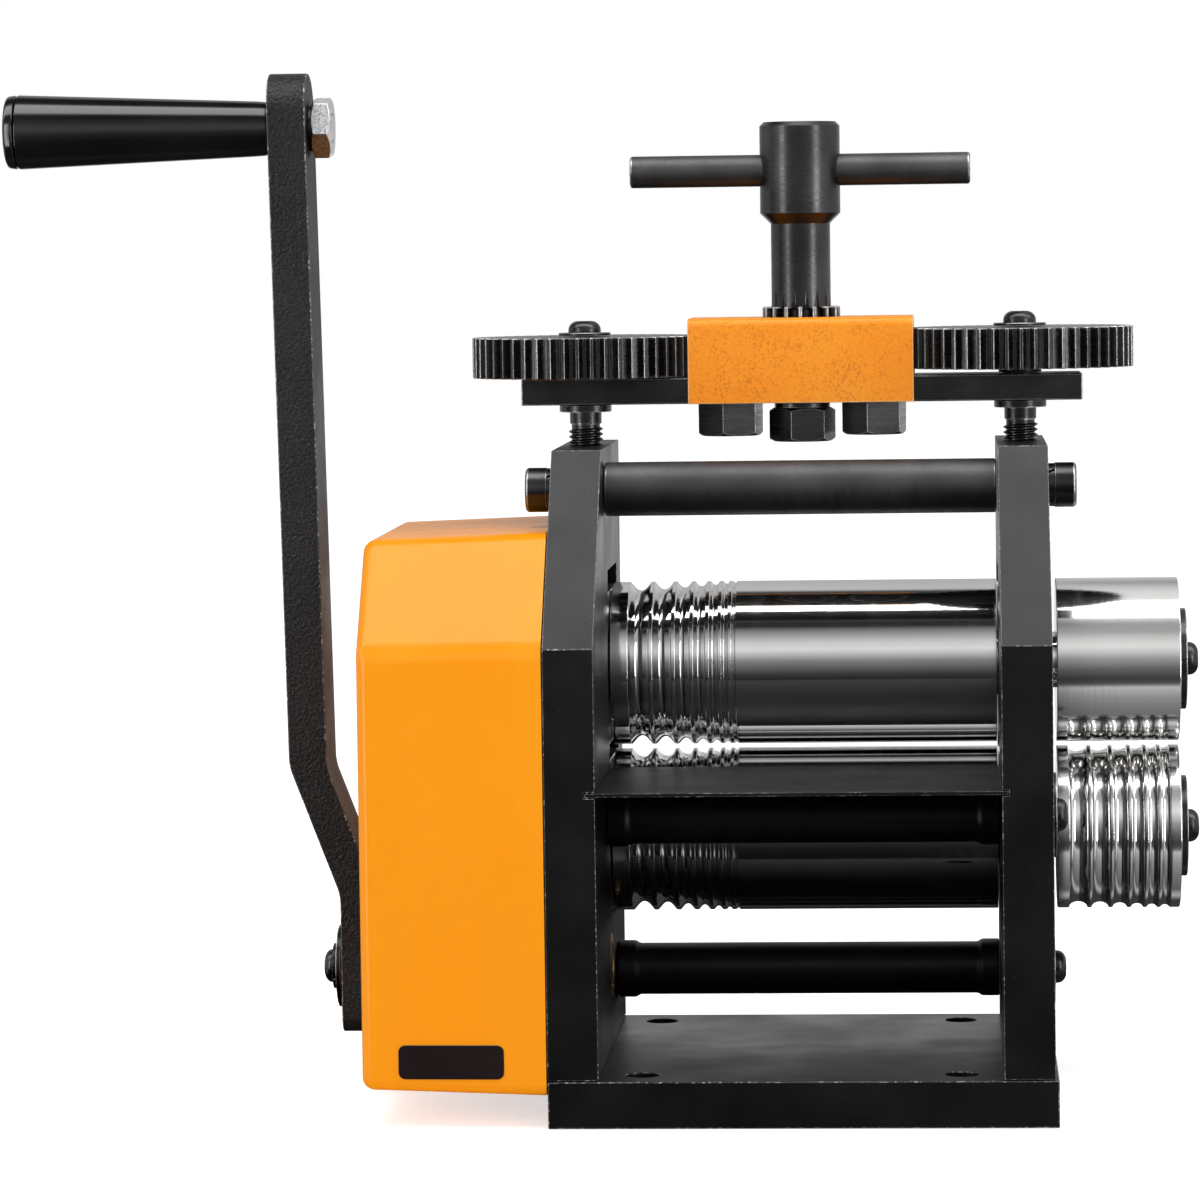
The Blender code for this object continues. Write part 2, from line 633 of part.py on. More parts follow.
def build_side_frame(root, side):
    """One side frame with its bearing window, tie holes, shelf slot and tapped holes."""
    name = "left_side_frame" if side < 0 else "right_side_frame"
    centre_x = side * FRAME_SPACING / 2
    holes = [
        rectangle_points(
            (ROLL_Y - WINDOW_HALF_WIDTH, WINDOW_BOTTOM), (ROLL_Y + WINDOW_HALF_WIDTH, WINDOW_TOP)
        )
    ]
    tie_hole = TIE_SCREW_DIAMETER / 2 + SEAT_GAP
    for place in [*tie_places(), top_tie_place()]:
        holes.append(circle_points(tie_hole, SMALL_HOLE_SIDES, place))
    if side < 0:
        bush_hole = CRANK_BUSH_DIAMETER / 2 + SEAT_GAP
        holes.append(circle_points(bush_hole, ROLL_SIDES, (CRANK_Y, CRANK_Z)))
        for place in cover_boss_places():
            radius = COVER_SCREW_DIAMETER / 2 + SEAT_GAP
            holes.append(circle_points(radius, SMALL_HOLE_SIDES, place))
    bm = bmesh.new()
    prism(bm, frame_outline(), holes, -FRAME_THICKNESS / 2, FRAME_THICKNESS, "X")
    frame = add_piece(name, bm, "black_paint", root, (centre_x, 0, 0), smooth=False)
    cuts = bmesh.new()
    bore = rod_profile(
        WINDOW_TOP - CUT_OVERRUN,
        FRAME_TOP - WINDOW_TOP + 2 * CUT_OVERRUN,
        SCREW_DIAMETER / 2 + SEAT_GAP,
    )
    revolve(cuts, bore, HOLE_SIDES, "Z", centre=(0, ROLL_Y, 0))
    foot = rod_profile(
        FRAME_FOOT - CUT_OVERRUN,
        FOOT_SCREW_REACH + CUT_OVERRUN + SEAT_GAP,
        FOOT_SCREW_DIAMETER / 2 + SEAT_GAP,
    )
    for sy in (-1, 1):
        revolve(cuts, foot, SMALL_HOLE_SIDES, "Z", centre=(0, sy * FOOT_SCREW_SPAN / 2, 0))
    let_in = SHELF_LET_IN_LEFT if side < 0 else SHELF_LET_IN_RIGHT
    inner = -side * FRAME_THICKNESS / 2
    deep = inner + side * (let_in + SEAT_GAP)
    clear = inner - side * CUT_OVERRUN
    slot = rectangle_points(
        (min(deep, clear), FRONT - CUT_OVERRUN), (max(deep, clear), FRONT + SHELF_SLOT_DEPTH)
    )
    prism(cuts, slot, [], SHELF_Z - SHELF_THICKNESS / 2 - SEAT_GAP, SHELF_THICKNESS + 2 * SEAT_GAP)
    boolean(frame, add_cutter(name + "_cutter", cuts, frame), "DIFFERENCE")


def tie_screw(root, name, side, place, washer, head, profile_end):
    """A screw with its captive washer, standing on the outer face of one frame."""
    seat = FRAME_OUTER + SEAT_GAP
    shank = TIE_SCREW_DIAMETER / 2
    tip = FRAME_INNER - SEAT_GAP - TIE_SCREW_REACH
    washer_radius, washer_height = washer
    head_seat = seat + washer_height
    profile = [
        (side * tip, 0),
        (side * tip, shank),
        (side * seat, shank),
        (side * seat, washer_radius),
        (side * head_seat, washer_radius),
        (side * head_seat, head),
    ]
    profile += [(side * (head_seat + rise), radius) for rise, radius in profile_end]
    bm = bmesh.new()
    revolve(bm, profile, SCREW_SIDES, "X")
    add_piece(name, bm, "black_oxide", root, (0, *place))


def build_ties(root):
    """Top tie bar, the two tie rods and their screws."""
    half = FRAME_INNER - SEAT_GAP
    shank = TIE_SCREW_DIAMETER / 2
    bore = shank + SEAT_GAP
    depth = TIE_SCREW_REACH + SEAT_GAP
    tapped_right = [(half, bore), (half - depth, bore), (half - depth, 0)]
    bar_radius = TOP_TIE_DIAMETER / 2
    profile = [(-half + depth, 0), (-half + depth, bore), (-half, bore)]
    profile += [
        (-half, bar_radius - TIE_CHAMFER),
        (-half + TIE_CHAMFER, bar_radius),
        (half - TIE_CHAMFER, bar_radius),
        (half, bar_radius - TIE_CHAMFER),
    ]
    bm = bmesh.new()
    revolve(bm, profile + tapped_right, ROD_SIDES, "X")
    add_piece("top_tie_bar", bm, "black_oxide", root, (0, *top_tie_place()))
    head = CAP_HEAD_DIAMETER / 2
    cap = [
        (CAP_HEAD_HEIGHT - TIE_CHAMFER, head),
        (CAP_HEAD_HEIGHT, head - TIE_CHAMFER),
        (CAP_HEAD_HEIGHT, 0),
    ]
    washer = (TOP_WASHER_DIAMETER / 2, TOP_WASHER_THICKNESS)
    for side, label in ((-1, "left"), (1, "right")):
        name = "top_tie_screw_" + label
        tie_screw(root, name, side, top_tie_place(), washer, head, cap)

    rod = TIE_ROD_DIAMETER / 2
    collar = TIE_COLLAR_DIAMETER / 2
    stud = -FRAME_OUTER + FRAME_THICKNESS - TIE_STUD_LENGTH
    profile = [
        (stud, 0),
        (stud, shank),
        (-half, shank),
        (-half, collar - TIE_CHAMFER),
        (-half + TIE_CHAMFER, collar),
        (-half + TIE_COLLAR_LENGTH, collar),
        (-half + TIE_COLLAR_LENGTH + TIE_COLLAR_TAPER, rod),
        (half - TIE_COLLAR_LENGTH - TIE_COLLAR_TAPER, rod),
        (half - TIE_COLLAR_LENGTH, collar),
        (half - TIE_CHAMFER, collar),
        (half, collar - TIE_CHAMFER),
    ]
    washer = (TIE_WASHER_DIAMETER / 2, TIE_WASHER_THICKNESS)
    head = BUTTON_HEAD_DIAMETER / 2
    dome = dome_steps(BUTTON_HEAD_DIAMETER, BUTTON_HEAD_HEIGHT)
    for label, place in zip(("front", "rear"), tie_places()):
        bm = bmesh.new()
        revolve(bm, profile + tapped_right, ROD_SIDES, "X")
        add_piece(label + "_tie_rod", bm, "black_paint", root, (0, *place))
        tie_screw(root, label + "_tie_screw", 1, place, washer, head, dome)


def build_shelf(root):
    """Thin feed shelf let into slots in both frames, its back edge close to the lower roll."""
    across = SHELF_Z - LOWER_Z
    back = ROLL_Y - math.sqrt((ROLL_DIAMETER / 2) ** 2 - across**2) - SHELF_ROLL_CLEARANCE
    tab_back = FRONT + SHELF_SLOT_DEPTH - SEAT_GAP
    left = -FRAME_INNER - SHELF_LET_IN_LEFT
    right = FRAME_INNER + SHELF_LET_IN_RIGHT
    inner = FRAME_INNER - SEAT_GAP
    outline = [
        (left, FRONT),
        (right, FRONT),
        (right, tab_back),
        (inner, tab_back),
        (inner, back),
        (-inner, back),
        (-inner, tab_back),
        (left, tab_back),
    ]
    bm = bmesh.new()
    prism(bm, outline, [], -SHELF_THICKNESS / 2, SHELF_THICKNESS)
    add_piece("feed_shelf", bm, "black_paint", root, (0, 0, SHELF_Z), smooth=False)


def build_blocks(frame, level, axis_z):
    """Both bearing blocks of one roll with their bronze bushes and spring pockets."""
    half = BLOCK_HEIGHT / 2
    pocket_side = 1 if level == "lower" else -1
    for side, label in ((-1, "left"), (1, "right")):
        outline = rectangle_points((-BLOCK_WIDTH / 2, -half), (BLOCK_WIDTH / 2, half))
        bore = circle_points(BUSH_DIAMETER / 2 + SEAT_GAP, ROLL_SIDES)
        bm = bmesh.new()
        prism(bm, outline, [bore], -FRAME_THICKNESS / 2, FRAME_THICKNESS, "X")
        place = (side * FRAME_SPACING / 2, ROLL_Y, axis_z)
        name = level + "_bearing_block_" + label
        block = add_piece(name, bm, "gear_steel", frame, place, smooth=False)
        floor = pocket_side * (half - SPRING_POCKET_DEPTH)
        mouth = pocket_side * (half + CUT_OVERRUN)
        start = min(floor, mouth)
        pocket = bmesh.new()
        profile = rod_profile(start, abs(mouth - floor), SPRING_POCKET_DIAMETER / 2)
        revolve(pocket, profile, SCREW_SIDES, "Z")
        boolean(block, add_cutter(name + "_pocket", pocket, block), "DIFFERENCE")
        bush = bmesh.new()
        inner = NECK_DIAMETER / 2 + SEAT_GAP
        ring = ring_profile(-FRAME_THICKNESS / 2, FRAME_THICKNESS, BUSH_DIAMETER / 2, inner)
        revolve(bush, ring, ROLL_SIDES, "X", closed=True)
        add_piece(level + "_bush_" + label, bush, "bronze", frame, place)


def helix_points(radius, rise, per_turn):
    """Points along a lift spring's wire, from its foot at the origin."""
    count = SPRING_TURNS * per_turn
    points = []
    for i in range(count + 1):
        angle = FULL_TURN * i / per_turn
        points.append(Vector((radius * math.cos(angle), radius * math.sin(angle), rise * i / count)))
    return points


def least_gap(points, apart):
    """Least distance between points of a line that lie at least some places apart."""
    distances = []
    for i, point in enumerate(points):
        for other in points[i + apart :]:
            distances.append((point - other).length)
    return min(distances)


def build_lift_springs(root):
    """A spring on each side that pushes the upper block up against its screw."""
    low = LOWER_Z + BLOCK_HEIGHT / 2 - SPRING_POCKET_DEPTH + SEAT_GAP + SPRING_WIRE / 2
    high = UPPER_Z - BLOCK_HEIGHT / 2 + SPRING_POCKET_DEPTH - SEAT_GAP - SPRING_WIRE / 2
    rise = high - low
    radius = (SPRING_DIAMETER - SPRING_WIRE) / 2
    count = SPRING_TURNS * SPRING_POINTS_PER_TURN
    fine = helix_points(radius, rise, SPRING_GAP_POINTS)
    gap = least_gap(fine, SPRING_GAP_POINTS // 2) - SPRING_WIRE
    print("lift spring: least gap to itself in mm", round(gap * MILLIMETRES, 2))
    for side, label in ((-1, "left"), (1, "right")):
        name = label + "_lift_spring"
        curve = bpy.data.curves.new(name, "CURVE")
        curve.dimensions = "3D"
        curve.bevel_depth = SPRING_WIRE / 2
        curve.bevel_resolution = 1
        curve.use_fill_caps = True
        spline = curve.splines.new("POLY")
        spline.points.add(count)
        for i, point in enumerate(helix_points(radius, rise, SPRING_POINTS_PER_TURN)):
            spline.points[i].co = (*point, 1.0)
        curve.materials.append(finish_material(name, "spring_steel"))
        spring = bpy.data.objects.new(name, curve)
        bpy.context.scene.collection.objects.link(spring)
        spring.parent = root
        spring.location = (side * FRAME_SPACING / 2, ROLL_Y, low)


def wire_groove_profile(start, radius):
    """Seven square-wire grooves, largest first, from one end of a roll."""
    points = []
    place = start + WIRE_LAND_FIRST
    for share in WIRE_GROOVE_SHARES:
        width = WIRE_GROOVE_LARGEST * share
        depth = width * WIRE_DEPTH_SHARE
        points.append((place, radius))
        points.append((place + width / 2, radius - depth))
        points.append((place + width, radius))
        place += width + WIRE_LAND
    return points


def side_groove_profile(start, radius):
    """Six half-round grooves, largest first, along a side roll."""
    points = []
    place = start + SIDE_LAND_FIRST
    arc_shares = (0.0, 0.22, 0.78, 1.0)
    for share in SIDE_GROOVE_SHARES:
        width = SIDE_GROOVE_LARGEST * share
        depth = width * SIDE_DEPTH_SHARE
        for along in arc_shares:
            sag = math.sqrt(max(0.0, 1 - (2 * along - 1) ** 2))
            points.append((place + width * along, radius - depth * sag))
        place += width + SIDE_LAND
    return points


def roll_body_profile(neck_end):
    """Roll, necks, left gear seat and right spigot, with tapped ends."""
    radius = ROLL_DIAMETER / 2
    face = FRAME_INNER - ROLL_FACE_GAP
    neck = NECK_DIAMETER / 2
    spigot = SPIGOT_DIAMETER / 2
    bore = TIE_SCREW_DIAMETER / 2 + SEAT_GAP
    spigot_end = SIDE_ROLL_END - SEAT_GAP
    shoulder = FRAME_OUTER + SEAT_GAP
    depth = SIDE_SCREW_REACH + 2 * SEAT_GAP
    points = [
        (neck_end + depth, 0),
        (neck_end + depth, bore),
        (neck_end, bore),
        (neck_end, spigot),
        (TIMING_GEAR_X + RUNNING_GAP, spigot),
        (TIMING_GEAR_X + RUNNING_GAP, neck),
        (-face, neck),
        (-face, radius - ROLL_EDGE_BREAK),
        (-face + ROLL_EDGE_BREAK, radius),
    ]
    points += wire_groove_profile(-face, radius)
    points += [
        (face - ROLL_EDGE_BREAK, radius),
        (face, radius - ROLL_EDGE_BREAK),
        (face, neck),
        (shoulder, neck),
        (shoulder, spigot),
        (spigot_end, spigot),
        (spigot_end, bore),
        (spigot_end - depth, bore),
        (spigot_end - depth, 0),
    ]
    return points


def build_roll(frame, level, axis_z, neck_end, grooved_side_roll):
    """One roll, its side roll, and the screw and washer that hold the side roll on."""
    place = (0, ROLL_Y, axis_z)
    bm = bmesh.new()
    revolve(bm, roll_body_profile(neck_end), ROLL_SIDES, "X")
    add_piece(level + "_roll", bm, "polished_steel", frame, place)

    radius = ROLL_DIAMETER / 2
    inner = SPIGOT_DIAMETER / 2 + SEAT_GAP
    profile = [
        (SIDE_ROLL_X, inner),
        (SIDE_ROLL_X, radius - ROLL_EDGE_BREAK),
        (SIDE_ROLL_X + ROLL_EDGE_BREAK, radius),
    ]
    if grooved_side_roll:
        profile += side_groove_profile(SIDE_ROLL_X, radius)
    profile += [
        (SIDE_ROLL_END - ROLL_EDGE_BREAK, radius),
        (SIDE_ROLL_END, radius - ROLL_EDGE_BREAK),
        (SIDE_ROLL_END, inner),
    ]
    bm = bmesh.new()
    revolve(bm, profile, ROLL_SIDES, "X", closed=True)
    add_piece(level + "_side_roll", bm, "polished_steel", frame, place)

    seat = SIDE_ROLL_END + SEAT_GAP
    bore = TIE_SCREW_DIAMETER / 2 + SEAT_GAP
    bm = bmesh.new()
    ring = ring_profile(seat, SIDE_WASHER_THICKNESS, SIDE_WASHER_DIAMETER / 2, bore)
    revolve(bm, ring, ROD_SIDES, "X", closed=True)
    add_piece(level + "_side_roll_washer", bm, "black_oxide", frame, place)

    head = seat + SIDE_WASHER_THICKNESS + SEAT_GAP
    profile = button_profile(
        head,
        1,
        BUTTON_HEAD_DIAMETER,
        BUTTON_HEAD_HEIGHT,
        TIE_SCREW_DIAMETER,
        head - SIDE_ROLL_END + SIDE_SCREW_REACH,
    )
    bm = bmesh.new()
    revolve(bm, profile, SCREW_SIDES, "X")
    add_piece(level + "_side_roll_screw", bm, "black_oxide", frame, place)


def gear_blank(name, outline, width, start, bore, finish, frame, at, axis="X", sides=HOLE_SIDES):
    """A gear cut from a plate, with a round bore."""
    bm = bmesh.new()
    hole = circle_points(bore, sides)
    prism(bm, outline, [hole], start, width, axis)
    return add_piece(name, bm, finish, frame, at, smooth=False)


def build_roll_gears(lower, upper):
    """Timing gears on both rolls and the drive gear on the lower one."""
    bore = SPIGOT_DIAMETER / 2 + SEAT_GAP
    half_pitch = math.pi / TIMING_TEETH
    down = -math.pi / 2
    up = math.pi / 2
    gear_blank(
        "lower_timing_gear",
        timing_gear_points(up),
        TIMING_WIDTH,
        TIMING_GEAR_X - TIMING_WIDTH,
        bore,
        "gear_steel",
        lower,
        (0, ROLL_Y, LOWER_Z),
        sides=ROLL_SIDES,
    )
    gear_blank(
        "upper_timing_gear",
        timing_gear_points(down + half_pitch),
        TIMING_WIDTH,
        TIMING_GEAR_X - TIMING_WIDTH,
        bore,
        "gear_steel",
        upper,
        (0, ROLL_Y, UPPER_Z),
        sides=ROLL_SIDES,
    )
    towards_crank = math.atan2(CRANK_Z - LOWER_Z, CRANK_Y - ROLL_Y)
    gear_blank(
        "roll_drive_gear",
        involute_gear_points(DRIVE_MODULE, DRIVE_GEAR_TEETH, towards_crank, steps=1),
        DRIVE_GEAR_WIDTH,
        DRIVE_GEAR_X - DRIVE_GEAR_WIDTH,
        bore,
        "gear_steel",
        lower,
        (0, ROLL_Y, LOWER_Z),
        sides=ROLL_SIDES,
    )
    seat = DRIVE_GEAR_X - DRIVE_GEAR_WIDTH - SEAT_GAP
    tip = seat + SIDE_SCREW_REACH
    rim = seat - GEAR_SCREW_THICKNESS
    profile = [
        (tip, 0),
        (tip, TIE_SCREW_DIAMETER / 2),
        (seat, TIE_SCREW_DIAMETER / 2),
        (seat, GEAR_SCREW_HEAD / 2),
        (rim, GEAR_SCREW_HEAD / 2),
        (rim, 0),
    ]
    bm = bmesh.new()
    revolve(bm, profile, ROD_SIDES, "X")
    add_piece("drive_gear_flange_screw", bm, "black_oxide", lower, (0, ROLL_Y, LOWER_Z))


def cover_outline(inset):
    """Gear cover seen along X, inset by a wall or a draft."""
    run = FRAME_TOP_SETBACK
    rise = FRAME_TOP - SHOULDER_Z
    slant = math.hypot(run, rise)
    top = COVER_TOP - inset
    front = FRONT + inset
    shift = inset * slant / rise
    top_front = FRONT + shift + (top - SHOULDER_Z) * run / rise
    shoulder = SHOULDER_Z - (shift - inset) * rise / run
    bottom = COVER_BOTTOM + inset
    back = BACK - inset
    return [(front, bottom), (back, bottom), (back, top), (top_front, top), (front, shoulder)]


def loft(bm, start_loop, start_x, end_loop, end_x):
    """Close the space between two like outlines that face each other along X."""
    rings = []
    for loop, x in ((start_loop, start_x), (end_loop, end_x)):
        rings.append([bm.verts.new((x, y, z)) for y, z in loop])
    for i in range(len(rings[0])):
        k = (i + 1) % len(rings[0])
        bm.faces.new((rings[0][i], rings[0][k], rings[1][k], rings[1][i]))
    bm.faces.new(rings[0])
    far = bm.faces.new(rings[1])
    bmesh.ops.recalc_face_normals(bm, faces=bm.faces)
    return far


def build_cover(root):
    """Moulded gear cover: a drafted shell open to the frame, with four screw bosses."""
    inner = COVER_INNER_RADIUS
    edge = inner + COVER_WALL
    rounding = (edge, edge, edge, edge, edge)
    bm = bmesh.new()
    open_loop = rounded_outline(cover_outline(0), rounding, CORNER_STEPS)
    far_loop = rounded_outline(cover_outline(COVER_DRAFT), rounding, CORNER_STEPS)
    far = loft(bm, open_loop, COVER_OPEN_X, far_loop, COVER_FACE_X)
    bmesh.ops.bevel(
        bm,
        geom=list(far.edges),
        offset=edge * COVER_EDGE_SHARE,
        offset_type="OFFSET",
        affect="EDGES",
        segments=CORNER_STEPS,
        profile=0.5,
        material=-1,
    )
    cover = add_piece("gear_cover", bm, "orange_plastic", root, (0, 0, 0))

    cavity = bmesh.new()
    inner_rounding = (inner, inner, inner, inner, inner)
    open_loop = rounded_outline(cover_outline(COVER_WALL), inner_rounding, 1)
    far_loop = rounded_outline(cover_outline(COVER_WALL + COVER_DRAFT), inner_rounding, 1)
    loft(cavity, open_loop, COVER_OPEN_X + CUT_OVERRUN, far_loop, COVER_FACE_X + COVER_WALL)
    boolean(cover, add_cutter("gear_cover_cavity", cavity, cover), "DIFFERENCE")

    bosses = bmesh.new()
    holes = bmesh.new()
    length = COVER_OPEN_X - COVER_FACE_X - COVER_WALL / 2
    for place in cover_boss_places():
        boss = circle_points(COVER_BOSS_DIAMETER / 2, SMALL_HOLE_SIDES, place)
        prism(bosses, boss, [], COVER_OPEN_X - length, length, "X")
        hole = circle_points(COVER_SCREW_DIAMETER / 2 + SEAT_GAP, SMALL_HOLE_SIDES, place)
        depth = COVER_OPEN_X - COVER_FACE_X + 2 * CUT_OVERRUN
        prism(holes, hole, [], COVER_FACE_X - CUT_OVERRUN, depth, "X")
    bush_hole = circle_points(CRANK_BUSH_DIAMETER / 2 + SEAT_GAP, ROLL_SIDES, (CRANK_Y, CRANK_Z))
    prism(holes, bush_hole, [], COVER_FACE_X - CUT_OVERRUN, COVER_WALL + 2 * CUT_OVERRUN, "X")
    boolean(cover, add_cutter("gear_cover_bosses", bosses, cover), "UNION")
    boolean(cover, add_cutter("gear_cover_holes", holes, cover), "DIFFERENCE")


def build_crank_bushes(root):
    """Bushes of the crank shaft, one in the left frame and one in the cover's wall."""
    inner = CRANK_SHAFT_DIAMETER / 2 + SEAT_GAP
    outer = CRANK_BUSH_DIAMETER / 2
    place = (0, CRANK_Y, CRANK_Z)
    bm = bmesh.new()
    ring = ring_profile(-FRAME_OUTER, FRAME_THICKNESS, outer, inner)
    revolve(bm, ring, ROLL_SIDES, "X", closed=True)
    add_piece("crank_frame_bush", bm, "bronze", root, place)
    flange = outer + COVER_WALL
    wall_in = COVER_FACE_X + COVER_WALL + SEAT_GAP
    flange_in = wall_in + COVER_WALL
    profile = [
        (COVER_FACE_X, inner),
        (COVER_FACE_X, outer),
        (wall_in, outer),
        (wall_in, flange),
        (flange_in, flange),
        (flange_in, inner),
    ]
    bm = bmesh.new()
    revolve(bm, profile, ROLL_SIDES, "X", closed=True)
    add_piece("crank_cover_bush", bm, "bronze", root, place)


def build_crank(crank):
    """Crank shaft, pinion, bent arm and the fasteners at both ends of the arm."""
    place = (0, CRANK_Y, CRANK_Z)
    shaft = CRANK_SHAFT_DIAMETER / 2
    seat = shaft - RUNNING_GAP
    arm_inner = CRANK_INNER_X
    arm_outer = arm_inner - CRANK_THICKNESS
    shaft_end = arm_outer + SEAT_GAP
    bore = CRANK_SCREW_DIAMETER / 2 + SEAT_GAP
    depth = CRANK_SCREW_REACH
    profile = [
        (-FRAME_INNER - SEAT_GAP, 0),
        (-FRAME_INNER - SEAT_GAP, shaft),
        (arm_inner + SEAT_GAP, shaft),
        (arm_inner + SEAT_GAP, seat),
        (shaft_end, seat),
        (shaft_end, bore),
        (shaft_end + depth, bore),
        (shaft_end + depth, 0),
    ]
    bm = bmesh.new()
    revolve(bm, profile, ROD_SIDES, "X")
    add_piece("crank_shaft", bm, "gear_steel", crank, place)

    towards_roll = math.atan2(LOWER_Z - CRANK_Z, ROLL_Y - CRANK_Y)
    half_pitch = math.pi / DRIVE_PINION_TEETH
    overlap = (DRIVE_PINION_WIDTH - DRIVE_GEAR_WIDTH) / 2
    gear_blank(
        "crank_pinion",
        involute_gear_points(DRIVE_MODULE, DRIVE_PINION_TEETH, towards_roll + half_pitch),
        DRIVE_PINION_WIDTH,
        DRIVE_GEAR_X - DRIVE_GEAR_WIDTH - overlap,
        shaft + SEAT_GAP,
        "gear_steel",
        crank,
        place,
    )

    low = -CRANK_TAIL
    high = CRANK_RADIUS + CRANK_HEAD
    jog = arm_inner - CRANK_BEND_JOG
    top = jog - CRANK_LEAN
    profile = [
        (low, arm_inner),
        (CRANK_BEND_START, arm_inner),
        (CRANK_BEND_END, jog),
        (high, top),
        (high, top - CRANK_THICKNESS),
        (CRANK_BEND_END + CRANK_EDGE_BREAK, jog - CRANK_THICKNESS),
        (CRANK_BEND_START + CRANK_EDGE_BREAK, arm_outer),
        (low, arm_outer),
    ]
    bm = bmesh.new()
    prism(bm, profile, [], -CRANK_WIDTH / 2, CRANK_WIDTH, "Y")
    bmesh.ops.remove_doubles(bm, verts=bm.verts, dist=MERGE_DISTANCE)
    for level, share, steps in (
        (high, CRANK_TOP_SHARE, CORNER_STEPS * 3),
        (low, CRANK_TAIL_SHARE, CORNER_STEPS),
    ):
        ends = [
            e
            for e in bm.edges
            if all(abs(v.co.z - level) < SEAT_GAP for v in e.verts)
            and abs(e.verts[0].co.x - e.verts[1].co.x) > CRANK_THICKNESS / 2
        ]
        bmesh.ops.bevel(
            bm,
            geom=ends,
            offset=CRANK_WIDTH / 2 * share,
            offset_type="OFFSET",
            affect="EDGES",
            segments=steps,
            profile=0.5,
            material=-1,
        )
    arm = add_piece("crank_arm", bm, "black_textured_paint", crank, place)
    holes = bmesh.new()
    hub = rod_profile(
        arm_outer - CUT_OVERRUN, CRANK_THICKNESS + 2 * CUT_OVERRUN, seat + SEAT_GAP
    )
    revolve(holes, hub, HOLE_SIDES, "X")
    grip_hole = rod_profile(
        ARM_GRIP_OUTER_X - CUT_OVERRUN,
        CRANK_THICKNESS + 2 * CUT_OVERRUN,
        GRIP_BOLT_DIAMETER / 2 + SEAT_GAP,
    )
    revolve(holes, grip_hole, HOLE_SIDES, "X", centre=(0, 0, CRANK_RADIUS))
    boolean(arm, add_cutter("crank_arm_holes", holes, arm), "DIFFERENCE")

    washer_seat = arm_outer - SEAT_GAP
    washer_end = washer_seat - CRANK_WASHER_THICKNESS
    bm = bmesh.new()
    ring = ring_profile(washer_end, CRANK_WASHER_THICKNESS, CRANK_WASHER_DIAMETER / 2, bore)
    revolve(bm, ring, ROD_SIDES, "X", closed=True)
    add_piece("crank_washer", bm, "black_oxide", crank, place)
    lock_seat = washer_end - SEAT_GAP
    head_seat = lock_seat - CRANK_LOCK_WASHER_THICKNESS
    tip = shaft_end + CRANK_SCREW_REACH - SEAT_GAP
    profile = [
        (tip, 0),
        (tip, CRANK_SCREW_DIAMETER / 2),
        (lock_seat, CRANK_SCREW_DIAMETER / 2),
        (lock_seat, CRANK_LOCK_WASHER_DIAMETER / 2),
        (head_seat, CRANK_LOCK_WASHER_DIAMETER / 2),
        (head_seat, BUTTON_HEAD_DIAMETER / 2),
    ]
    dome = dome_steps(BUTTON_HEAD_DIAMETER, BUTTON_HEAD_HEIGHT)
    profile += [(head_seat - rise, radius) for rise, radius in dome]
    bm = bmesh.new()
    revolve(bm, profile, SCREW_SIDES, "X")
    add_piece("crank_screw", bm, "black_oxide", crank, place)


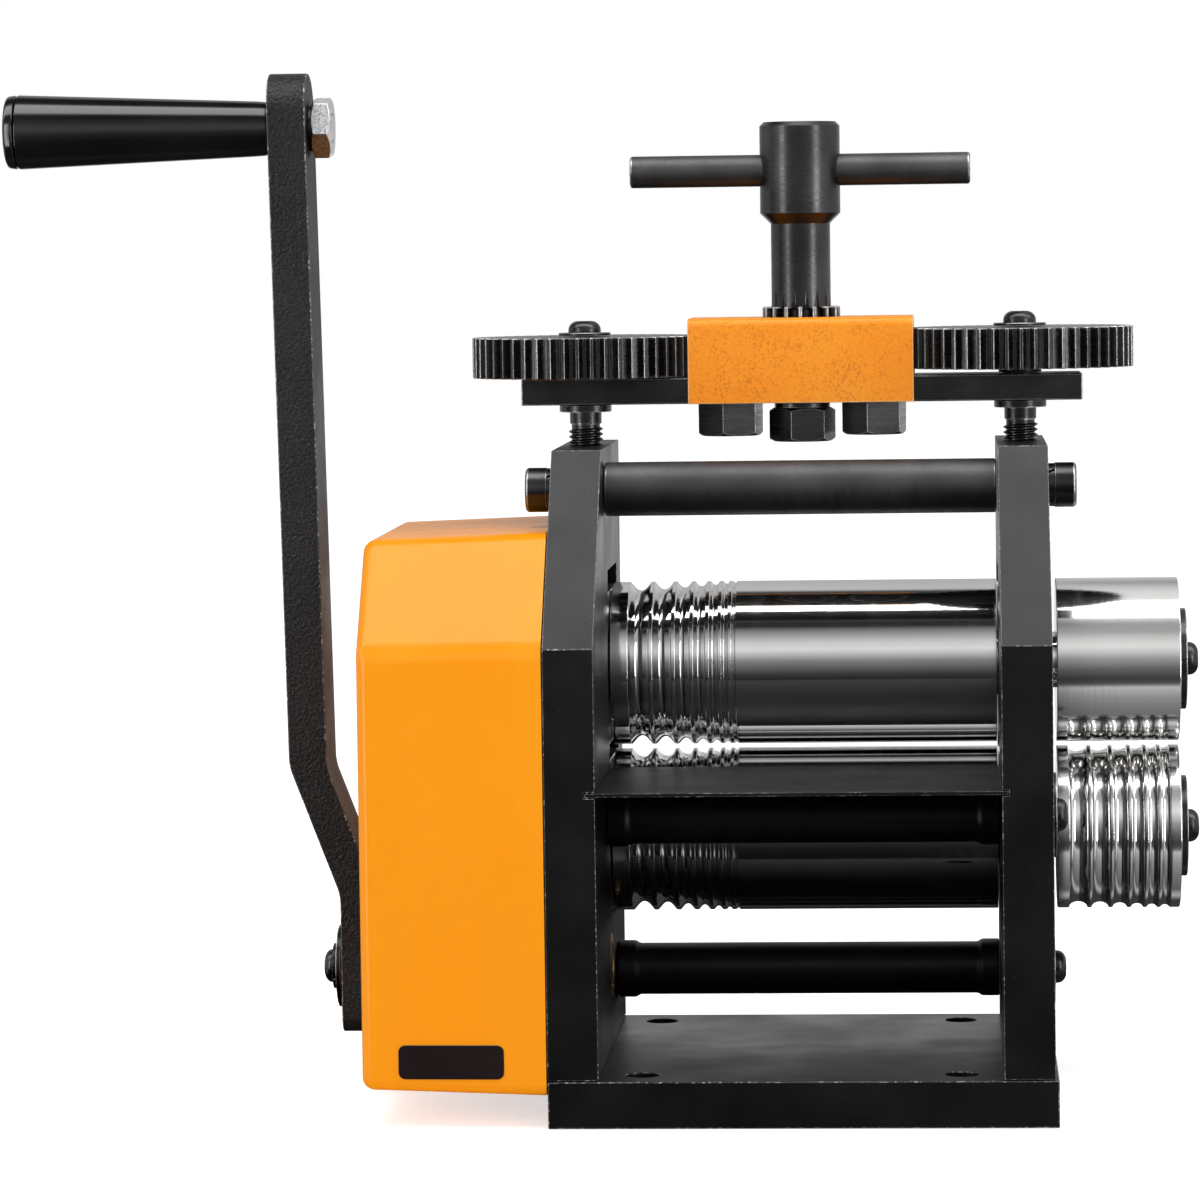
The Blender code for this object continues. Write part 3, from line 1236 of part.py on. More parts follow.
def build_grip(crank, grip):
    """Grip bolt and its nut on the arm, and the turning grip with its end cap."""
    place = (0, CRANK_Y, GRIP_Z)
    bolt = GRIP_BOLT_DIAMETER / 2
    hole = bolt + SEAT_GAP
    washer_seat = ARM_GRIP_INNER_X + SEAT_GAP + ARM_SLANT * GRIP_LOCK_WASHER_DIAMETER / 2
    nut_seat = washer_seat + GRIP_LOCK_WASHER_THICKNESS
    nut_end = nut_seat + GRIP_NUT_HEIGHT
    head_in = GRIP_END_X + GRIP_CAP_LENGTH + GRIP_HEAD_DEPTH
    head_out = head_in - GRIP_BOLT_HEAD_HEIGHT
    profile = [
        (head_out, 0),
        (head_out, GRIP_BOLT_HEAD_DIAMETER / 2),
        (head_in, GRIP_BOLT_HEAD_DIAMETER / 2),
        (head_in, bolt),
        (nut_end, bolt),
        (nut_end, 0),
    ]
    bm = bmesh.new()
    revolve(bm, profile, SCREW_SIDES, "X")
    add_piece("grip_bolt", bm, "zinc_plate", crank, place)

    bm = bmesh.new()
    outline = hexagon_points(GRIP_NUT_FLATS, GRIP_NUT_TURN)
    prism(bm, outline, [circle_points(hole, HOLE_SIDES)], nut_seat, GRIP_NUT_HEIGHT, "X")
    nut = add_piece("grip_nut", bm, "zinc_plate", crank, place, smooth=False)
    washer = bmesh.new()
    reach = GRIP_LOCK_WASHER_THICKNESS + GRIP_NUT_HEIGHT * NUT_LAP_SHARE
    ring = ring_profile(washer_seat, reach, GRIP_LOCK_WASHER_DIAMETER / 2, hole)
    revolve(washer, ring, HOLE_SIDES, "X", closed=True)
    boolean(nut, add_cutter("grip_nut_washer", washer, nut), "UNION")

    cap_in = GRIP_END_X + GRIP_CAP_LENGTH
    body_out = cap_in + SEAT_GAP
    pocket = GRIP_BOLT_HEAD_DIAMETER / 2 + RUNNING_GAP
    pocket_in = head_in + RUNNING_GAP
    running = bolt + RUNNING_GAP
    arm_radius = GRIP_ARM_DIAMETER / 2
    end_radius = GRIP_END_DIAMETER / 2
    length = GRIP_START_X - body_out
    swell_shares = ((0.0, 0.0), (0.03, 0.12), (0.35, 0.42), (0.7, 0.78), (1.0, 1.0))
    profile = [(pocket_in, running), (GRIP_START_X, running)]
    for along, share in swell_shares:
        radius = arm_radius + (end_radius - arm_radius) * share
        profile.append((GRIP_START_X - length * along, radius))
    profile += [(body_out, pocket), (pocket_in, pocket)]
    bm = bmesh.new()
    revolve(bm, profile, ROLL_SIDES, "X", closed=True)
    add_piece("handle_grip", bm, "black_plastic", grip, place)

    crown = GRIP_CAP_CROWN
    plug = pocket - SEAT_GAP
    plug_in = head_out - RUNNING_GAP
    profile = [
        (plug_in, 0),
        (plug_in, plug),
        (cap_in, plug),
        (cap_in, end_radius),
        (GRIP_END_X + 2 * crown, end_radius),
        (GRIP_END_X + crown, end_radius - crown),
        (GRIP_END_X, end_radius - 3 * crown),
        (GRIP_END_X, 0),
    ]
    bm = bmesh.new()
    revolve(bm, profile, ROLL_SIDES, "X")
    add_piece("grip_end_cap", bm, "black_plastic", grip, place)


def build_screw(frame, side):
    """One pressure screw with its gear and the screw and washer on top."""
    label = "left" if side < 0 else "right"
    lift = 0.0 if side < 0 else RIGHT_GEAR_SPACER
    at = (side * SCREW_X, ROLL_Y, 0)
    thread = SCREW_DIAMETER / 2
    tip = UPPER_Z + BLOCK_HEIGHT / 2 + SEAT_GAP
    flange_top = BAR_BOTTOM - SEAT_GAP
    flange_low = flange_top - SCREW_FLANGE_THICKNESS
    collar_low = flange_low - SCREW_COLLAR_LENGTH
    gear_low = GEAR_BOTTOM + lift
    gear_high = gear_low + ADJUST_GEAR_WIDTH
    bore = GEAR_SCREW_DIAMETER / 2 + SEAT_GAP
    depth = GEAR_SCREW_REACH + SEAT_GAP
    spacer = []
    if lift > 0:
        spacer = [
            (GEAR_BOTTOM, thread),
            (GEAR_BOTTOM, SPACER_DIAMETER / 2),
            (gear_low - SEAT_GAP, SPACER_DIAMETER / 2),
            (gear_low - SEAT_GAP, thread),
        ]
    profile = [
        (tip, 0),
        (tip, thread - TIE_CHAMFER),
        (tip + TIE_CHAMFER, thread),
        (collar_low, thread),
        (collar_low, SCREW_COLLAR_DIAMETER / 2),
        (flange_low, SCREW_COLLAR_DIAMETER / 2),
        (flange_low, SCREW_FLANGE_DIAMETER / 2),
        (flange_top, SCREW_FLANGE_DIAMETER / 2),
        (flange_top, thread),
        *spacer,
        (gear_high - SEAT_GAP, thread),
        (gear_high - SEAT_GAP, bore),
        (gear_high - SEAT_GAP - depth, bore),
        (gear_high - SEAT_GAP - depth, 0),
    ]
    bm = bmesh.new()
    revolve(bm, profile, ROD_SIDES, "Z")
    add_piece(label + "_pressure_screw", bm, "black_oxide", frame, at)

    towards_idler = math.pi if side > 0 else 0.0
    half_pitch = math.pi / SCREW_GEAR_TEETH
    gear_blank(
        label + "_screw_gear",
        involute_gear_points(ADJUST_MODULE, SCREW_GEAR_TEETH, towards_idler + half_pitch, steps=1),
        ADJUST_GEAR_WIDTH,
        gear_low,
        thread + SEAT_GAP,
        "black_oxide",
        frame,
        at,
        "Z",
    )
    washer_low = gear_high + SEAT_GAP
    head_seat = washer_low + GEAR_WASHER_THICKNESS
    tip = gear_high - GEAR_SCREW_REACH
    profile = [
        (tip, 0),
        (tip, GEAR_SCREW_DIAMETER / 2),
        (washer_low, GEAR_SCREW_DIAMETER / 2),
        (washer_low, GEAR_WASHER_DIAMETER / 2),
        (head_seat, GEAR_WASHER_DIAMETER / 2),
        (head_seat, GEAR_BUTTON_DIAMETER / 2),
    ]
    dome = dome_steps(GEAR_BUTTON_DIAMETER, GEAR_BUTTON_HEIGHT)
    profile += [(head_seat + rise, radius) for rise, radius in dome]
    bm = bmesh.new()
    revolve(bm, profile, SCREW_SIDES, "Z")
    add_piece(label + "_gear_screw", bm, "black_oxide", frame, at)


def build_bar(bar):
    """Screw-down bar, gear guard with its screws, and the idler bolts."""
    place = (0, ROLL_Y, 0)
    screw_hole = SCREW_DIAMETER / 2 + SEAT_GAP
    holes = [circle_points(SPINDLE_JOURNAL_DIAMETER / 2 + SEAT_GAP, HOLE_SIDES)]
    for side in (-1, 1):
        holes.append(circle_points(screw_hole, HOLE_SIDES, (side * SCREW_X, 0)))
        bolt_hole = IDLER_BOLT_DIAMETER / 2 + SEAT_GAP
        holes.append(circle_points(bolt_hole, HOLE_SIDES, (side * IDLER_X, 0)))
    outline = rectangle_points(
        (-BAR_LENGTH / 2, -BAR_WIDTH / 2), (BAR_LENGTH / 2, BAR_WIDTH / 2)
    )
    bm = bmesh.new()
    prism(bm, outline, holes, BAR_BOTTOM, BAR_THICKNESS)
    plate = add_piece("screw_down_bar", bm, "black_oxide", bar, place, smooth=False)
    screw_z = BAR_BOTTOM + BAR_THICKNESS / 2
    tapped = bmesh.new()
    for side in (-1, 1):
        hole = rod_profile(
            BAR_WIDTH / 2 - GUARD_SCREW_REACH,
            GUARD_SCREW_REACH + CUT_OVERRUN,
            GUARD_SCREW_DIAMETER / 2 + SEAT_GAP,
        )
        centre = (side * GUARD_SCREW_SPAN / 2, 0, screw_z)
        revolve(tapped, hole, SMALL_HOLE_SIDES, "Y", centre=centre)
    boolean(plate, add_cutter("bar_tapped_holes", tapped, plate), "DIFFERENCE")

    outer = GUARD_OUTER_Y
    inner = GUARD_INNER_Y
    low = BAR_BOTTOM
    high = GUARD_TOP
    inner_bend = GUARD_INNER_BEND
    bend = inner_bend + GUARD_SHEET
    corners = [
        (-outer, low),
        (-inner, low),
        (-inner, high - GUARD_SHEET),
        (inner, high - GUARD_SHEET),
        (inner, low),
        (outer, low),
        (outer, high),
        (-outer, high),
    ]
    radii = (0, 0, inner_bend, inner_bend, 0, 0, bend, bend)
    section = rounded_outline(corners, radii, CORNER_STEPS)
    bm = bmesh.new()
    prism(bm, section, [], -GUARD_LENGTH / 2, GUARD_LENGTH, "X")
    guard = add_piece("gear_guard", bm, "orange_paint", bar, place)
    cuts = bmesh.new()
    pinion_tip = ADJUST_MODULE * (PINION_TEETH + 2) / 2
    opening = rod_profile(
        high - GUARD_SHEET - CUT_OVERRUN,
        GUARD_SHEET + 2 * CUT_OVERRUN,
        pinion_tip + RUNNING_GAP,
    )
    revolve(cuts, opening, ROLL_SIDES, "Z")
    for side in (-1, 1):
        hole = rod_profile(
            inner - CUT_OVERRUN,
            GUARD_SHEET + 2 * CUT_OVERRUN,
            GUARD_SCREW_DIAMETER / 2 + SEAT_GAP,
        )
        centre = (side * GUARD_SCREW_SPAN / 2, 0, screw_z)
        revolve(cuts, hole, SMALL_HOLE_SIDES, "Y", centre=centre)
    boolean(guard, add_cutter("guard_holes", cuts, guard), "DIFFERENCE")

    bolt = IDLER_BOLT_DIAMETER / 2
    hex_top = BAR_BOTTOM - SEAT_GAP
    span = (hex_top - IDLER_HEX_HEIGHT, hex_top)
    for side, label in ((-1, "left"), (1, "right")):
        bm = bmesh.new()
        add_hex_bolt(bm, span, IDLER_HEX_FLATS, IDLER_HEX_TURN, bolt, GEAR_TOP)
        at = (side * IDLER_X, ROLL_Y, 0)
        add_piece(label + "_idler_bolt", bm, "black_oxide", bar, at, smooth=False)


def add_hex_bolt(bm, span, flats, turn, shank_radius, shank_top):
    """A hexagon with a chamfered lower end and a round shank above it, as one body."""
    low, high = span
    rise = flats * HEX_CHAMFER_SHARE
    levels = [(low, flats - 2 * rise), (low + rise, flats), (high, flats)]
    rings = []
    for level, width in levels:
        loop = []
        for x, y in hexagon_points(width, turn):
            loop.append(bm.verts.new((x, y, level)))
        rings.append(loop)
    for level in (high, shank_top):
        loop = []
        for x, y in circle_points(shank_radius, HEX_SIDES * 2, turn=turn):
            loop.append(bm.verts.new((x, y, level)))
        rings.append(loop)
    bm.faces.new(rings[0])
    for lower, upper in ((rings[0], rings[1]), (rings[1], rings[2]), (rings[3], rings[4])):
        for i in range(len(lower)):
            k = (i + 1) % len(lower)
            bm.faces.new((lower[i], lower[k], upper[k], upper[i]))
    hexagon, circle = rings[2], rings[3]
    for i in range(HEX_SIDES):
        k = (i + 1) % HEX_SIDES
        bm.faces.new((hexagon[i], circle[2 * i + 1], circle[2 * i]))
        bm.faces.new((hexagon[i], hexagon[k], circle[2 * i + 1]))
        bm.faces.new((hexagon[k], circle[2 * k], circle[2 * i + 1]))
    bm.faces.new(rings[4])


def build_spindle(spindle):
    """Tee spindle with its cut pinion, the tee bar and the nut below the bar."""
    place = (0, ROLL_Y, 0)
    journal = SPINDLE_JOURNAL_DIAMETER / 2
    shaft = SPINDLE_SHAFT_DIAMETER / 2
    head = SPINDLE_HEAD_DIAMETER / 2
    pinion_low = GEAR_BOTTOM
    pinion_high = pinion_low + PINION_LENGTH
    head_low = BAR_TOP + SPINDLE_HEAD_BOTTOM
    head_high = head_low + SPINDLE_HEAD_LENGTH
    hex_top = BAR_BOTTOM - SEAT_GAP
    hex_low = hex_top - SPINDLE_WASHER_THICKNESS - SPINDLE_HEX_HEIGHT
    profile = [
        (hex_low + SEAT_GAP, 0),
        (hex_low + SEAT_GAP, journal),
        (pinion_low, journal),
        (pinion_low, shaft),
        (head_low - SPINDLE_HEAD_TAPER, shaft),
        (head_low, head),
        (head_high - SPINDLE_CHAMFER, head),
        (head_high, head - SPINDLE_CHAMFER),
        (head_high, 0),
    ]
    bm = bmesh.new()
    revolve(bm, profile, ROD_SIDES, "Z")
    piece = add_piece("tee_spindle", bm, "black_oxide", spindle, place)
    teeth = bmesh.new()
    outline = involute_gear_points(ADJUST_MODULE, PINION_TEETH, 0.0, steps=1)
    prism(teeth, outline, [], pinion_low + SEAT_GAP, pinion_high - pinion_low - SEAT_GAP)
    boolean(piece, add_cutter("spindle_pinion", teeth, piece), "UNION")
    cross = bmesh.new()
    tee_z = head_high - TEE_BAR_DROP
    hole = rod_profile(-head - CUT_OVERRUN, 2 * (head + CUT_OVERRUN), TEE_BAR_DIAMETER / 2 + SEAT_GAP)
    revolve(cross, hole, HOLE_SIDES, "X", centre=(0, 0, tee_z))
    boolean(piece, add_cutter("spindle_cross_hole", cross, piece), "DIFFERENCE")

    bm = bmesh.new()
    bar = rod_profile(-TEE_BAR_LENGTH / 2, TEE_BAR_LENGTH, TEE_BAR_DIAMETER / 2, TIE_CHAMFER)
    revolve(bm, bar, HOLE_SIDES, "X")
    add_piece("tee_bar", bm, "black_oxide", spindle, (0, ROLL_Y, tee_z))

    bm = bmesh.new()
    bore = circle_points(journal + SEAT_GAP, HEX_SIDES * 2, turn=SPINDLE_HEX_TURN)
    outline = hexagon_points(SPINDLE_HEX_FLATS, SPINDLE_HEX_TURN)
    prism(bm, outline, [bore], hex_low, SPINDLE_HEX_HEIGHT)
    nut = add_piece("spindle_nut", bm, "black_oxide", spindle, place, smooth=False)
    flange = bmesh.new()
    ring = ring_profile(
        hex_top - SPINDLE_WASHER_THICKNESS * 2,
        SPINDLE_WASHER_THICKNESS * 2,
        SPINDLE_WASHER_DIAMETER / 2,
        journal + SEAT_GAP,
    )
    revolve(flange, ring, HOLE_SIDES, "Z", closed=True)
    boolean(nut, add_cutter("spindle_nut_flange", flange, nut), "UNION")


def build_idler(frame, side):
    """One idler between the tee pinion and a screw gear."""
    label = "left" if side < 0 else "right"
    towards_pinion = 0.0 if side < 0 else math.pi
    half_pitch = math.pi / IDLER_TEETH
    gear_blank(
        label + "_idler_gear",
        involute_gear_points(ADJUST_MODULE, IDLER_TEETH, towards_pinion + half_pitch, steps=1),
        ADJUST_GEAR_WIDTH - SEAT_GAP,
        GEAR_BOTTOM,
        IDLER_BOLT_DIAMETER / 2 + SEAT_GAP,
        "black_oxide",
        frame,
        (side * IDLER_X, ROLL_Y, 0),
        "Z",
    )


def main():
    """Build the whole mill."""
    clear_scene()
    root = joint_frame("root", (0, 0, 0))
    lower = joint_frame("lower_roll", (0, ROLL_Y, LOWER_Z), root)
    carriage = joint_frame("upper_carriage", (0, ROLL_Y, UPPER_Z), root)
    upper = joint_frame("upper_roll", (0, ROLL_Y, UPPER_Z), carriage)
    crank = joint_frame("crank", (0, CRANK_Y, CRANK_Z), root)
    grip = joint_frame("grip", (0, CRANK_Y, GRIP_Z), crank)
    bar = joint_frame("screw_down", (0, ROLL_Y, 0), root)
    spindle = joint_frame("spindle", (0, ROLL_Y, 0), bar)

    build_base(root)
    for side in (-1, 1):
        build_side_frame(root, side)
    build_ties(root)
    build_shelf(root)
    build_blocks(root, "lower", LOWER_Z)
    build_blocks(carriage, "upper", UPPER_Z)
    build_lift_springs(root)
    drive_end = DRIVE_GEAR_X - DRIVE_GEAR_WIDTH + SEAT_GAP
    timing_end = TIMING_GEAR_X - TIMING_WIDTH
    build_roll(lower, "lower", LOWER_Z, drive_end, True)
    build_roll(upper, "upper", UPPER_Z, timing_end, False)
    build_roll_gears(lower, upper)
    build_cover(root)
    build_crank_bushes(root)
    build_crank(crank)
    build_grip(crank, grip)
    build_bar(bar)
    build_spindle(spindle)
    for side in (-1, 1):
        label = "left" if side < 0 else "right"
        idler = joint_frame(label + "_idler", (side * IDLER_X, ROLL_Y, 0), bar)
        screw = joint_frame(label + "_screw", (side * SCREW_X, ROLL_Y, 0), bar)
        build_idler(idler, side)
        build_screw(screw, side)


main()
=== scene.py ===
"""Jewellers' combination rolling mill, with its pieces turned, cut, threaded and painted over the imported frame."""

import logging
import math
import sys
from collections.abc import Sequence
from dataclasses import dataclass
from enum import Enum

import bmesh
import bpy
from mathutils import Matrix, Vector


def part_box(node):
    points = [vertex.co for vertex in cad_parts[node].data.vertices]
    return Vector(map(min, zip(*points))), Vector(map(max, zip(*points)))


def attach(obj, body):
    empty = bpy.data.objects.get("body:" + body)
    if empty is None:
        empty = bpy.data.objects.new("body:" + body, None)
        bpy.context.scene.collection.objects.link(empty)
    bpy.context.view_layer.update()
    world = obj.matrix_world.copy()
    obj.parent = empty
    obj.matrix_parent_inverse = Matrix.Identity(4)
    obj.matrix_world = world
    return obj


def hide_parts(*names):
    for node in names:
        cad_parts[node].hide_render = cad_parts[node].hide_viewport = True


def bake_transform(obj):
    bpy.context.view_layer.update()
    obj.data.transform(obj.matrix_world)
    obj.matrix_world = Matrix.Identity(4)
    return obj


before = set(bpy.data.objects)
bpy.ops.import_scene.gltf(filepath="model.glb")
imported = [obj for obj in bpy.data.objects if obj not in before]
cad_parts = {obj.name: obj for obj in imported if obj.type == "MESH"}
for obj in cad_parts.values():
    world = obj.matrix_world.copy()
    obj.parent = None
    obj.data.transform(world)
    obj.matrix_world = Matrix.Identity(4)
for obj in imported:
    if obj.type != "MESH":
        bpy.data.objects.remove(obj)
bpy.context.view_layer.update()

LOG = logging.getLogger("rolling_mill")

Pair = tuple[float, float]
Place = tuple[float, float, float]
Colour = tuple[float, float, float]

FULL_TURN = 2 * math.pi
QUARTER_TURN = math.pi / 2
SIDES = (-1, 1)
SIDE_NAMES = {-1: "left", 1: "right"}
MERGE_DISTANCE = 0.00001
SEAT_GAP = 0.0003
CUT_OVERRUN = 0.002
HEX_SIDES = 6
CORNER_ROOM, CHAMFER_START, CHAMFER_SLOPE = 0.0002, 0.97, 0.58
SLIT_HALF, SLIT_SLANT = 0.0004, math.radians(28)
SMOOTH_CORNER = math.radians(28)
WHITE = (1.0, 1.0, 1.0, 1.0)
MIX_FIRST, MIX_SECOND, MIX_RESULT = 6, 7, 2
CLOUD_EDGE = (0.35, 0.7)
STREAK_EDGE = (0.3, 0.7)
FULL_SHARE = (0.0, 1.0)


class Axis(Enum):
    """The line that a turned piece or an extrusion follows."""

    X = ((0, 0, 1), (1, 0, 0), (0, 1, 0))
    Y = ((0, 1, 0), (0, 0, 1), (1, 0, 0))
    Z = ((1, 0, 0), (0, 1, 0), (0, 0, 1))

    @property
    def turn(self) -> Matrix:
        """Turns a point drawn round Z so that it stands round this axis."""
        return Matrix(self.value)


class Thread(Enum):
    """Metric threads that show, as (diameter, pitch) in metres."""

    PRESSURE_SCREW = (0.010, 0.0015)
    GRIP_BOLT = (0.008, 0.00125)


@dataclass(frozen=True)
class Datum:
    """Places that several sub-assemblies share."""

    front: float = -0.063
    back: float = 0.063
    frame_x: float = 0.0625
    frame_inner: float = 0.0555
    frame_outer: float = 0.0695
    base_top: float = 0.013
    frame_top: float = 0.1845
    shoulder: float = 0.132
    slope_top_y: float = -0.017
    roll_y: float = 0.025
    lower_z: float = 0.073
    upper_z: float = 0.1212
    roll_radius: float = 0.0235
    crank_y: float = 0.0047663
    crank_z: float = 0.0361951
    grip_z: float = 0.2761951
    bush_hole: float = 0.0093
    bush_radii: Pair = (0.0063, 0.009)
    screw_bore: float = 0.0053
    idler_bore: float = 0.0043
    bar_bottom: float = 0.1963
    bar_top: float = 0.2038
    gear_bottom: float = 0.2041
    gear_top: float = 0.2157

    @property
    def crank_axis(self) -> Place:
        """A point on the crank shaft's axis."""
        return (0, self.crank_y, self.crank_z)

    @property
    def grip_axis(self) -> Place:
        """A point on the grip's axis."""
        return (0, self.crank_y, self.grip_z)

    @property
    def spindle_axis(self) -> Place:
        """A point on the tee spindle's axis."""
        return (0, self.roll_y, 0)


DATUM = Datum()


def wired(tree: bpy.types.NodeTree, kind: str, feeds: dict, **options: str) -> bpy.types.Node:
    """Add a node to a tree.

    Args:
        tree: The tree that gets the node.
        kind: The node's type without ShaderNode.
        feeds: What each input gets: a socket to link, or a value.
        options: The node's own settings.

    Returns:
        The node.
    """
    node = tree.nodes.new(f"ShaderNode{kind}")
    for option, value in options.items():
        setattr(node, option, value)
    for socket, value in feeds.items():
        if isinstance(value, bpy.types.NodeSocket):
            tree.links.new(value, node.inputs[socket])
        else:
            node.inputs[socket].default_value = value
    return node


class Recipe:
    """A material's node tree, written a step at a time."""

    def __init__(self, name: str) -> None:
        """Start from a plain shader.

        Args:
            name: The material's name.
        """
        self.material = bpy.data.materials.new(name)
        self.material.use_nodes = True
        self.tree = self.material.node_tree
        self.shader = self.tree.nodes["Principled BSDF"]
        self.place = wired(self.tree, "TexCoord", {}).outputs["Object"]

    def constant(self, socket: str, value: float | tuple) -> "Recipe":
        """Set one of the shader's own sockets and return the recipe."""
        self.shader.inputs[socket].default_value = value
        return self

    def feed(self, source: bpy.types.NodeSocket, socket: str) -> "Recipe":
        """Link a value into one of the shader's sockets and return the recipe."""
        self.tree.links.new(source, self.shader.inputs[socket])
        return self

    def stretched(self, scale: Place) -> bpy.types.NodeSocket:
        """Object coordinates stretched along each axis."""
        return wired(self.tree, "Mapping", {"Vector": self.place, "Scale": scale}).outputs["Vector"]

    def noise(
        self,
        scale: float,
        detail: float = 2.0,
        roughness: float = 0.5,
        place: bpy.types.NodeSocket | None = None,
    ) -> bpy.types.NodeSocket:
        """Cloudy noise.

        Args:
            scale: Clouds per metre.
            detail: Octaves of finer noise.
            roughness: Strength of the finer octaves.
            place: Coordinates, or None for the object's own.

        Returns:
            The noise value's socket.
        """
        feeds = {"Vector": place or self.place, "Scale": scale, "Detail": detail, "Roughness": roughness}
        return wired(self.tree, "TexNoise", feeds).outputs["Fac"]

    def level(self, value: bpy.types.NodeSocket, start: Pair, end: Pair) -> bpy.types.NodeSocket:
        """Carry a value from one range to another and stop it at the ends.

        Args:
            value: What is carried over.
            start: The range it comes from.
            end: The range it goes to.

        Returns:
            The carried value's socket.
        """
        feeds = {"Value": value, "From Min": start[0], "From Max": start[1], "To Min": end[0], "To Max": end[1]}
        return wired(self.tree, "MapRange", feeds).outputs["Result"]

    def product(self, first: bpy.types.NodeSocket, second: bpy.types.NodeSocket) -> bpy.types.NodeSocket:
        """One value times another."""
        return wired(self.tree, "Math", {0: first, 1: second}, operation="MULTIPLY").outputs[0]

    def mix(
        self,
        share: bpy.types.NodeSocket,
        first: Colour | bpy.types.NodeSocket,
        second: Colour | bpy.types.NodeSocket,
    ) -> bpy.types.NodeSocket:
        """Blend two colours.

        Args:
            share: How much of the second colour shows.
            first: The colour where the share is 0.
            second: The colour where the share is 1.

        Returns:
            The blended colour's socket.
        """
        start, end = ((*colour, 1.0) if isinstance(colour, tuple) else colour for colour in (first, second))
        feeds = {0: share, MIX_FIRST: start, MIX_SECOND: end}
        return wired(self.tree, "Mix", feeds, data_type="RGBA").outputs[MIX_RESULT]

    def bump(self, height: bpy.types.NodeSocket, depth: float) -> "Recipe":
        """Raise the surface by a height map of a given depth in metres and return the recipe."""
        return self.feed(wired(self.tree, "Bump", {"Distance": depth, "Height": height}).outputs["Normal"], "Normal")


@dataclass(frozen=True)
class Paint:
    """Sprayed paint or powder coat: mottled colour, pale specks and a fine orange peel."""

    name: str
    base: Colour
    mottle: Colour
    speck: Colour
    speck_scale: float
    speck_edge: float
    roughness: Pair
    peel_scale: float
    peel_depth: float
    specular: float = 0.5
    speck_blur: float = 0.05
    speck_share: float = 1.0

    def material(self) -> bpy.types.Material:
        """The paint's node tree."""
        recipe = Recipe(self.name)
        cloud = recipe.noise(45.0, 3.0)
        body = recipe.mix(recipe.level(cloud, CLOUD_EDGE, FULL_SHARE), self.base, self.mottle)
        grains = recipe.noise(self.speck_scale, 1.0)
        patches = recipe.level(recipe.noise(120.0, 2.0), (0.4, 0.6), (0.35 * self.speck_share, self.speck_share))
        edge = (self.speck_edge, self.speck_edge + self.speck_blur)
        specks = recipe.product(recipe.level(grains, edge, FULL_SHARE), patches)
        recipe.feed(recipe.mix(specks, body, self.speck), "Base Color")
        recipe.feed(recipe.level(cloud, STREAK_EDGE, self.roughness), "Roughness")
        recipe.constant("Specular IOR Level", self.specular)
        recipe.bump(recipe.noise(self.peel_scale, 2.0, 0.6), self.peel_depth)
        return recipe.material


@dataclass(frozen=True)
class Metal:
    """Bare, plated or blackened metal with fine streaks and patches."""

    name: str
    base: Colour
    tint: Colour
    roughness: Pair
    streak: Place
    streak_depth: float
    patch_scale: float = 60.0

    def material(self) -> bpy.types.Material:
        """The metal's node tree."""
        recipe = Recipe(self.name)
        streaks = recipe.noise(1.0, 4.0, 0.6, recipe.stretched(self.streak))
        patches = recipe.noise(self.patch_scale, 3.0)
        recipe.feed(recipe.mix(recipe.level(patches, CLOUD_EDGE, FULL_SHARE), self.base, self.tint), "Base Color")
        recipe.feed(recipe.level(streaks, STREAK_EDGE, self.roughness), "Roughness")
        recipe.constant("Metallic", 1.0)
        recipe.bump(streaks, self.streak_depth)
        return recipe.material


@dataclass(frozen=True)
class Moulding:
    """Moulded plastic: even gloss with faint flow clouds."""

    name: str
    base: Colour
    cloud: Colour
    roughness: Pair
    grain_depth: float
    specular: float = 0.5

    def material(self) -> bpy.types.Material:
        """The plastic's node tree."""
        recipe = Recipe(self.name)
        flow = recipe.noise(1.0, 3.0, 0.5, recipe.stretched((30.0, 30.0, 14.0)))
        share = recipe.level(flow, CLOUD_EDGE, FULL_SHARE)
        recipe.feed(recipe.mix(share, self.base, self.cloud), "Base Color")
        recipe.feed(recipe.level(flow, STREAK_EDGE, self.roughness), "Roughness")
        recipe.constant("Specular IOR Level", self.specular)
        recipe.bump(recipe.noise(900.0, 2.0), self.grain_depth)
        return recipe.material


Finish = Paint | Metal | Moulding

BLACK_PAINT = Paint(
    "black_paint", (0.0024, 0.0024, 0.0026), (0.0042, 0.0042, 0.0046), (0.06, 0.06, 0.06),
    1700.0, 0.75, (0.34, 0.46), 1700.0, 0.00003, 0.28,
)
BLACK_POWDER = Paint(
    "black_powder", (0.0045, 0.0045, 0.0049), (0.0090, 0.0090, 0.0095), (0.05, 0.05, 0.05),
    2100.0, 0.66, (0.40, 0.54), 1000.0, 0.00050, 0.26,
)
# Pale grey on the broken edges of the black paint: partly chipped paint, partly a painted highlight along the edges.
CHIPS_AND_EDGE_HIGHLIGHT = Paint(
    "chips_and_edge_highlight", (0.012, 0.012, 0.013), (0.06, 0.06, 0.06), (0.38, 0.37, 0.36),
    1100.0, 0.56, (0.35, 0.5), 1700.0, 0.00003, 0.6,
)
ORANGE_PAINT = Paint(
    "orange_paint", (1.0, 0.300, 0.003), (1.0, 0.335, 0.006), (0.70, 0.165, 0.002),
    1500.0, 0.50, (0.36, 0.48), 1200.0, 0.00004, 0.3, 0.16, 0.75,
)
# Pale orange on the guard's broken edges and bend: a painted highlight.
ORANGE_EDGE_HIGHLIGHT = Paint(
    "orange_edge_highlight", (1.0, 0.42, 0.09), (1.0, 0.50, 0.20), (1.0, 0.62, 0.40),
    800.0, 0.55, (0.3, 0.4), 1200.0, 0.00002, 0.5,
)
BLACK_OXIDE = Metal(
    "black_oxide", (0.036, 0.036, 0.038), (0.062, 0.061, 0.062), (0.22, 0.38), (60.0, 60.0, 1500.0), 0.00003,
)
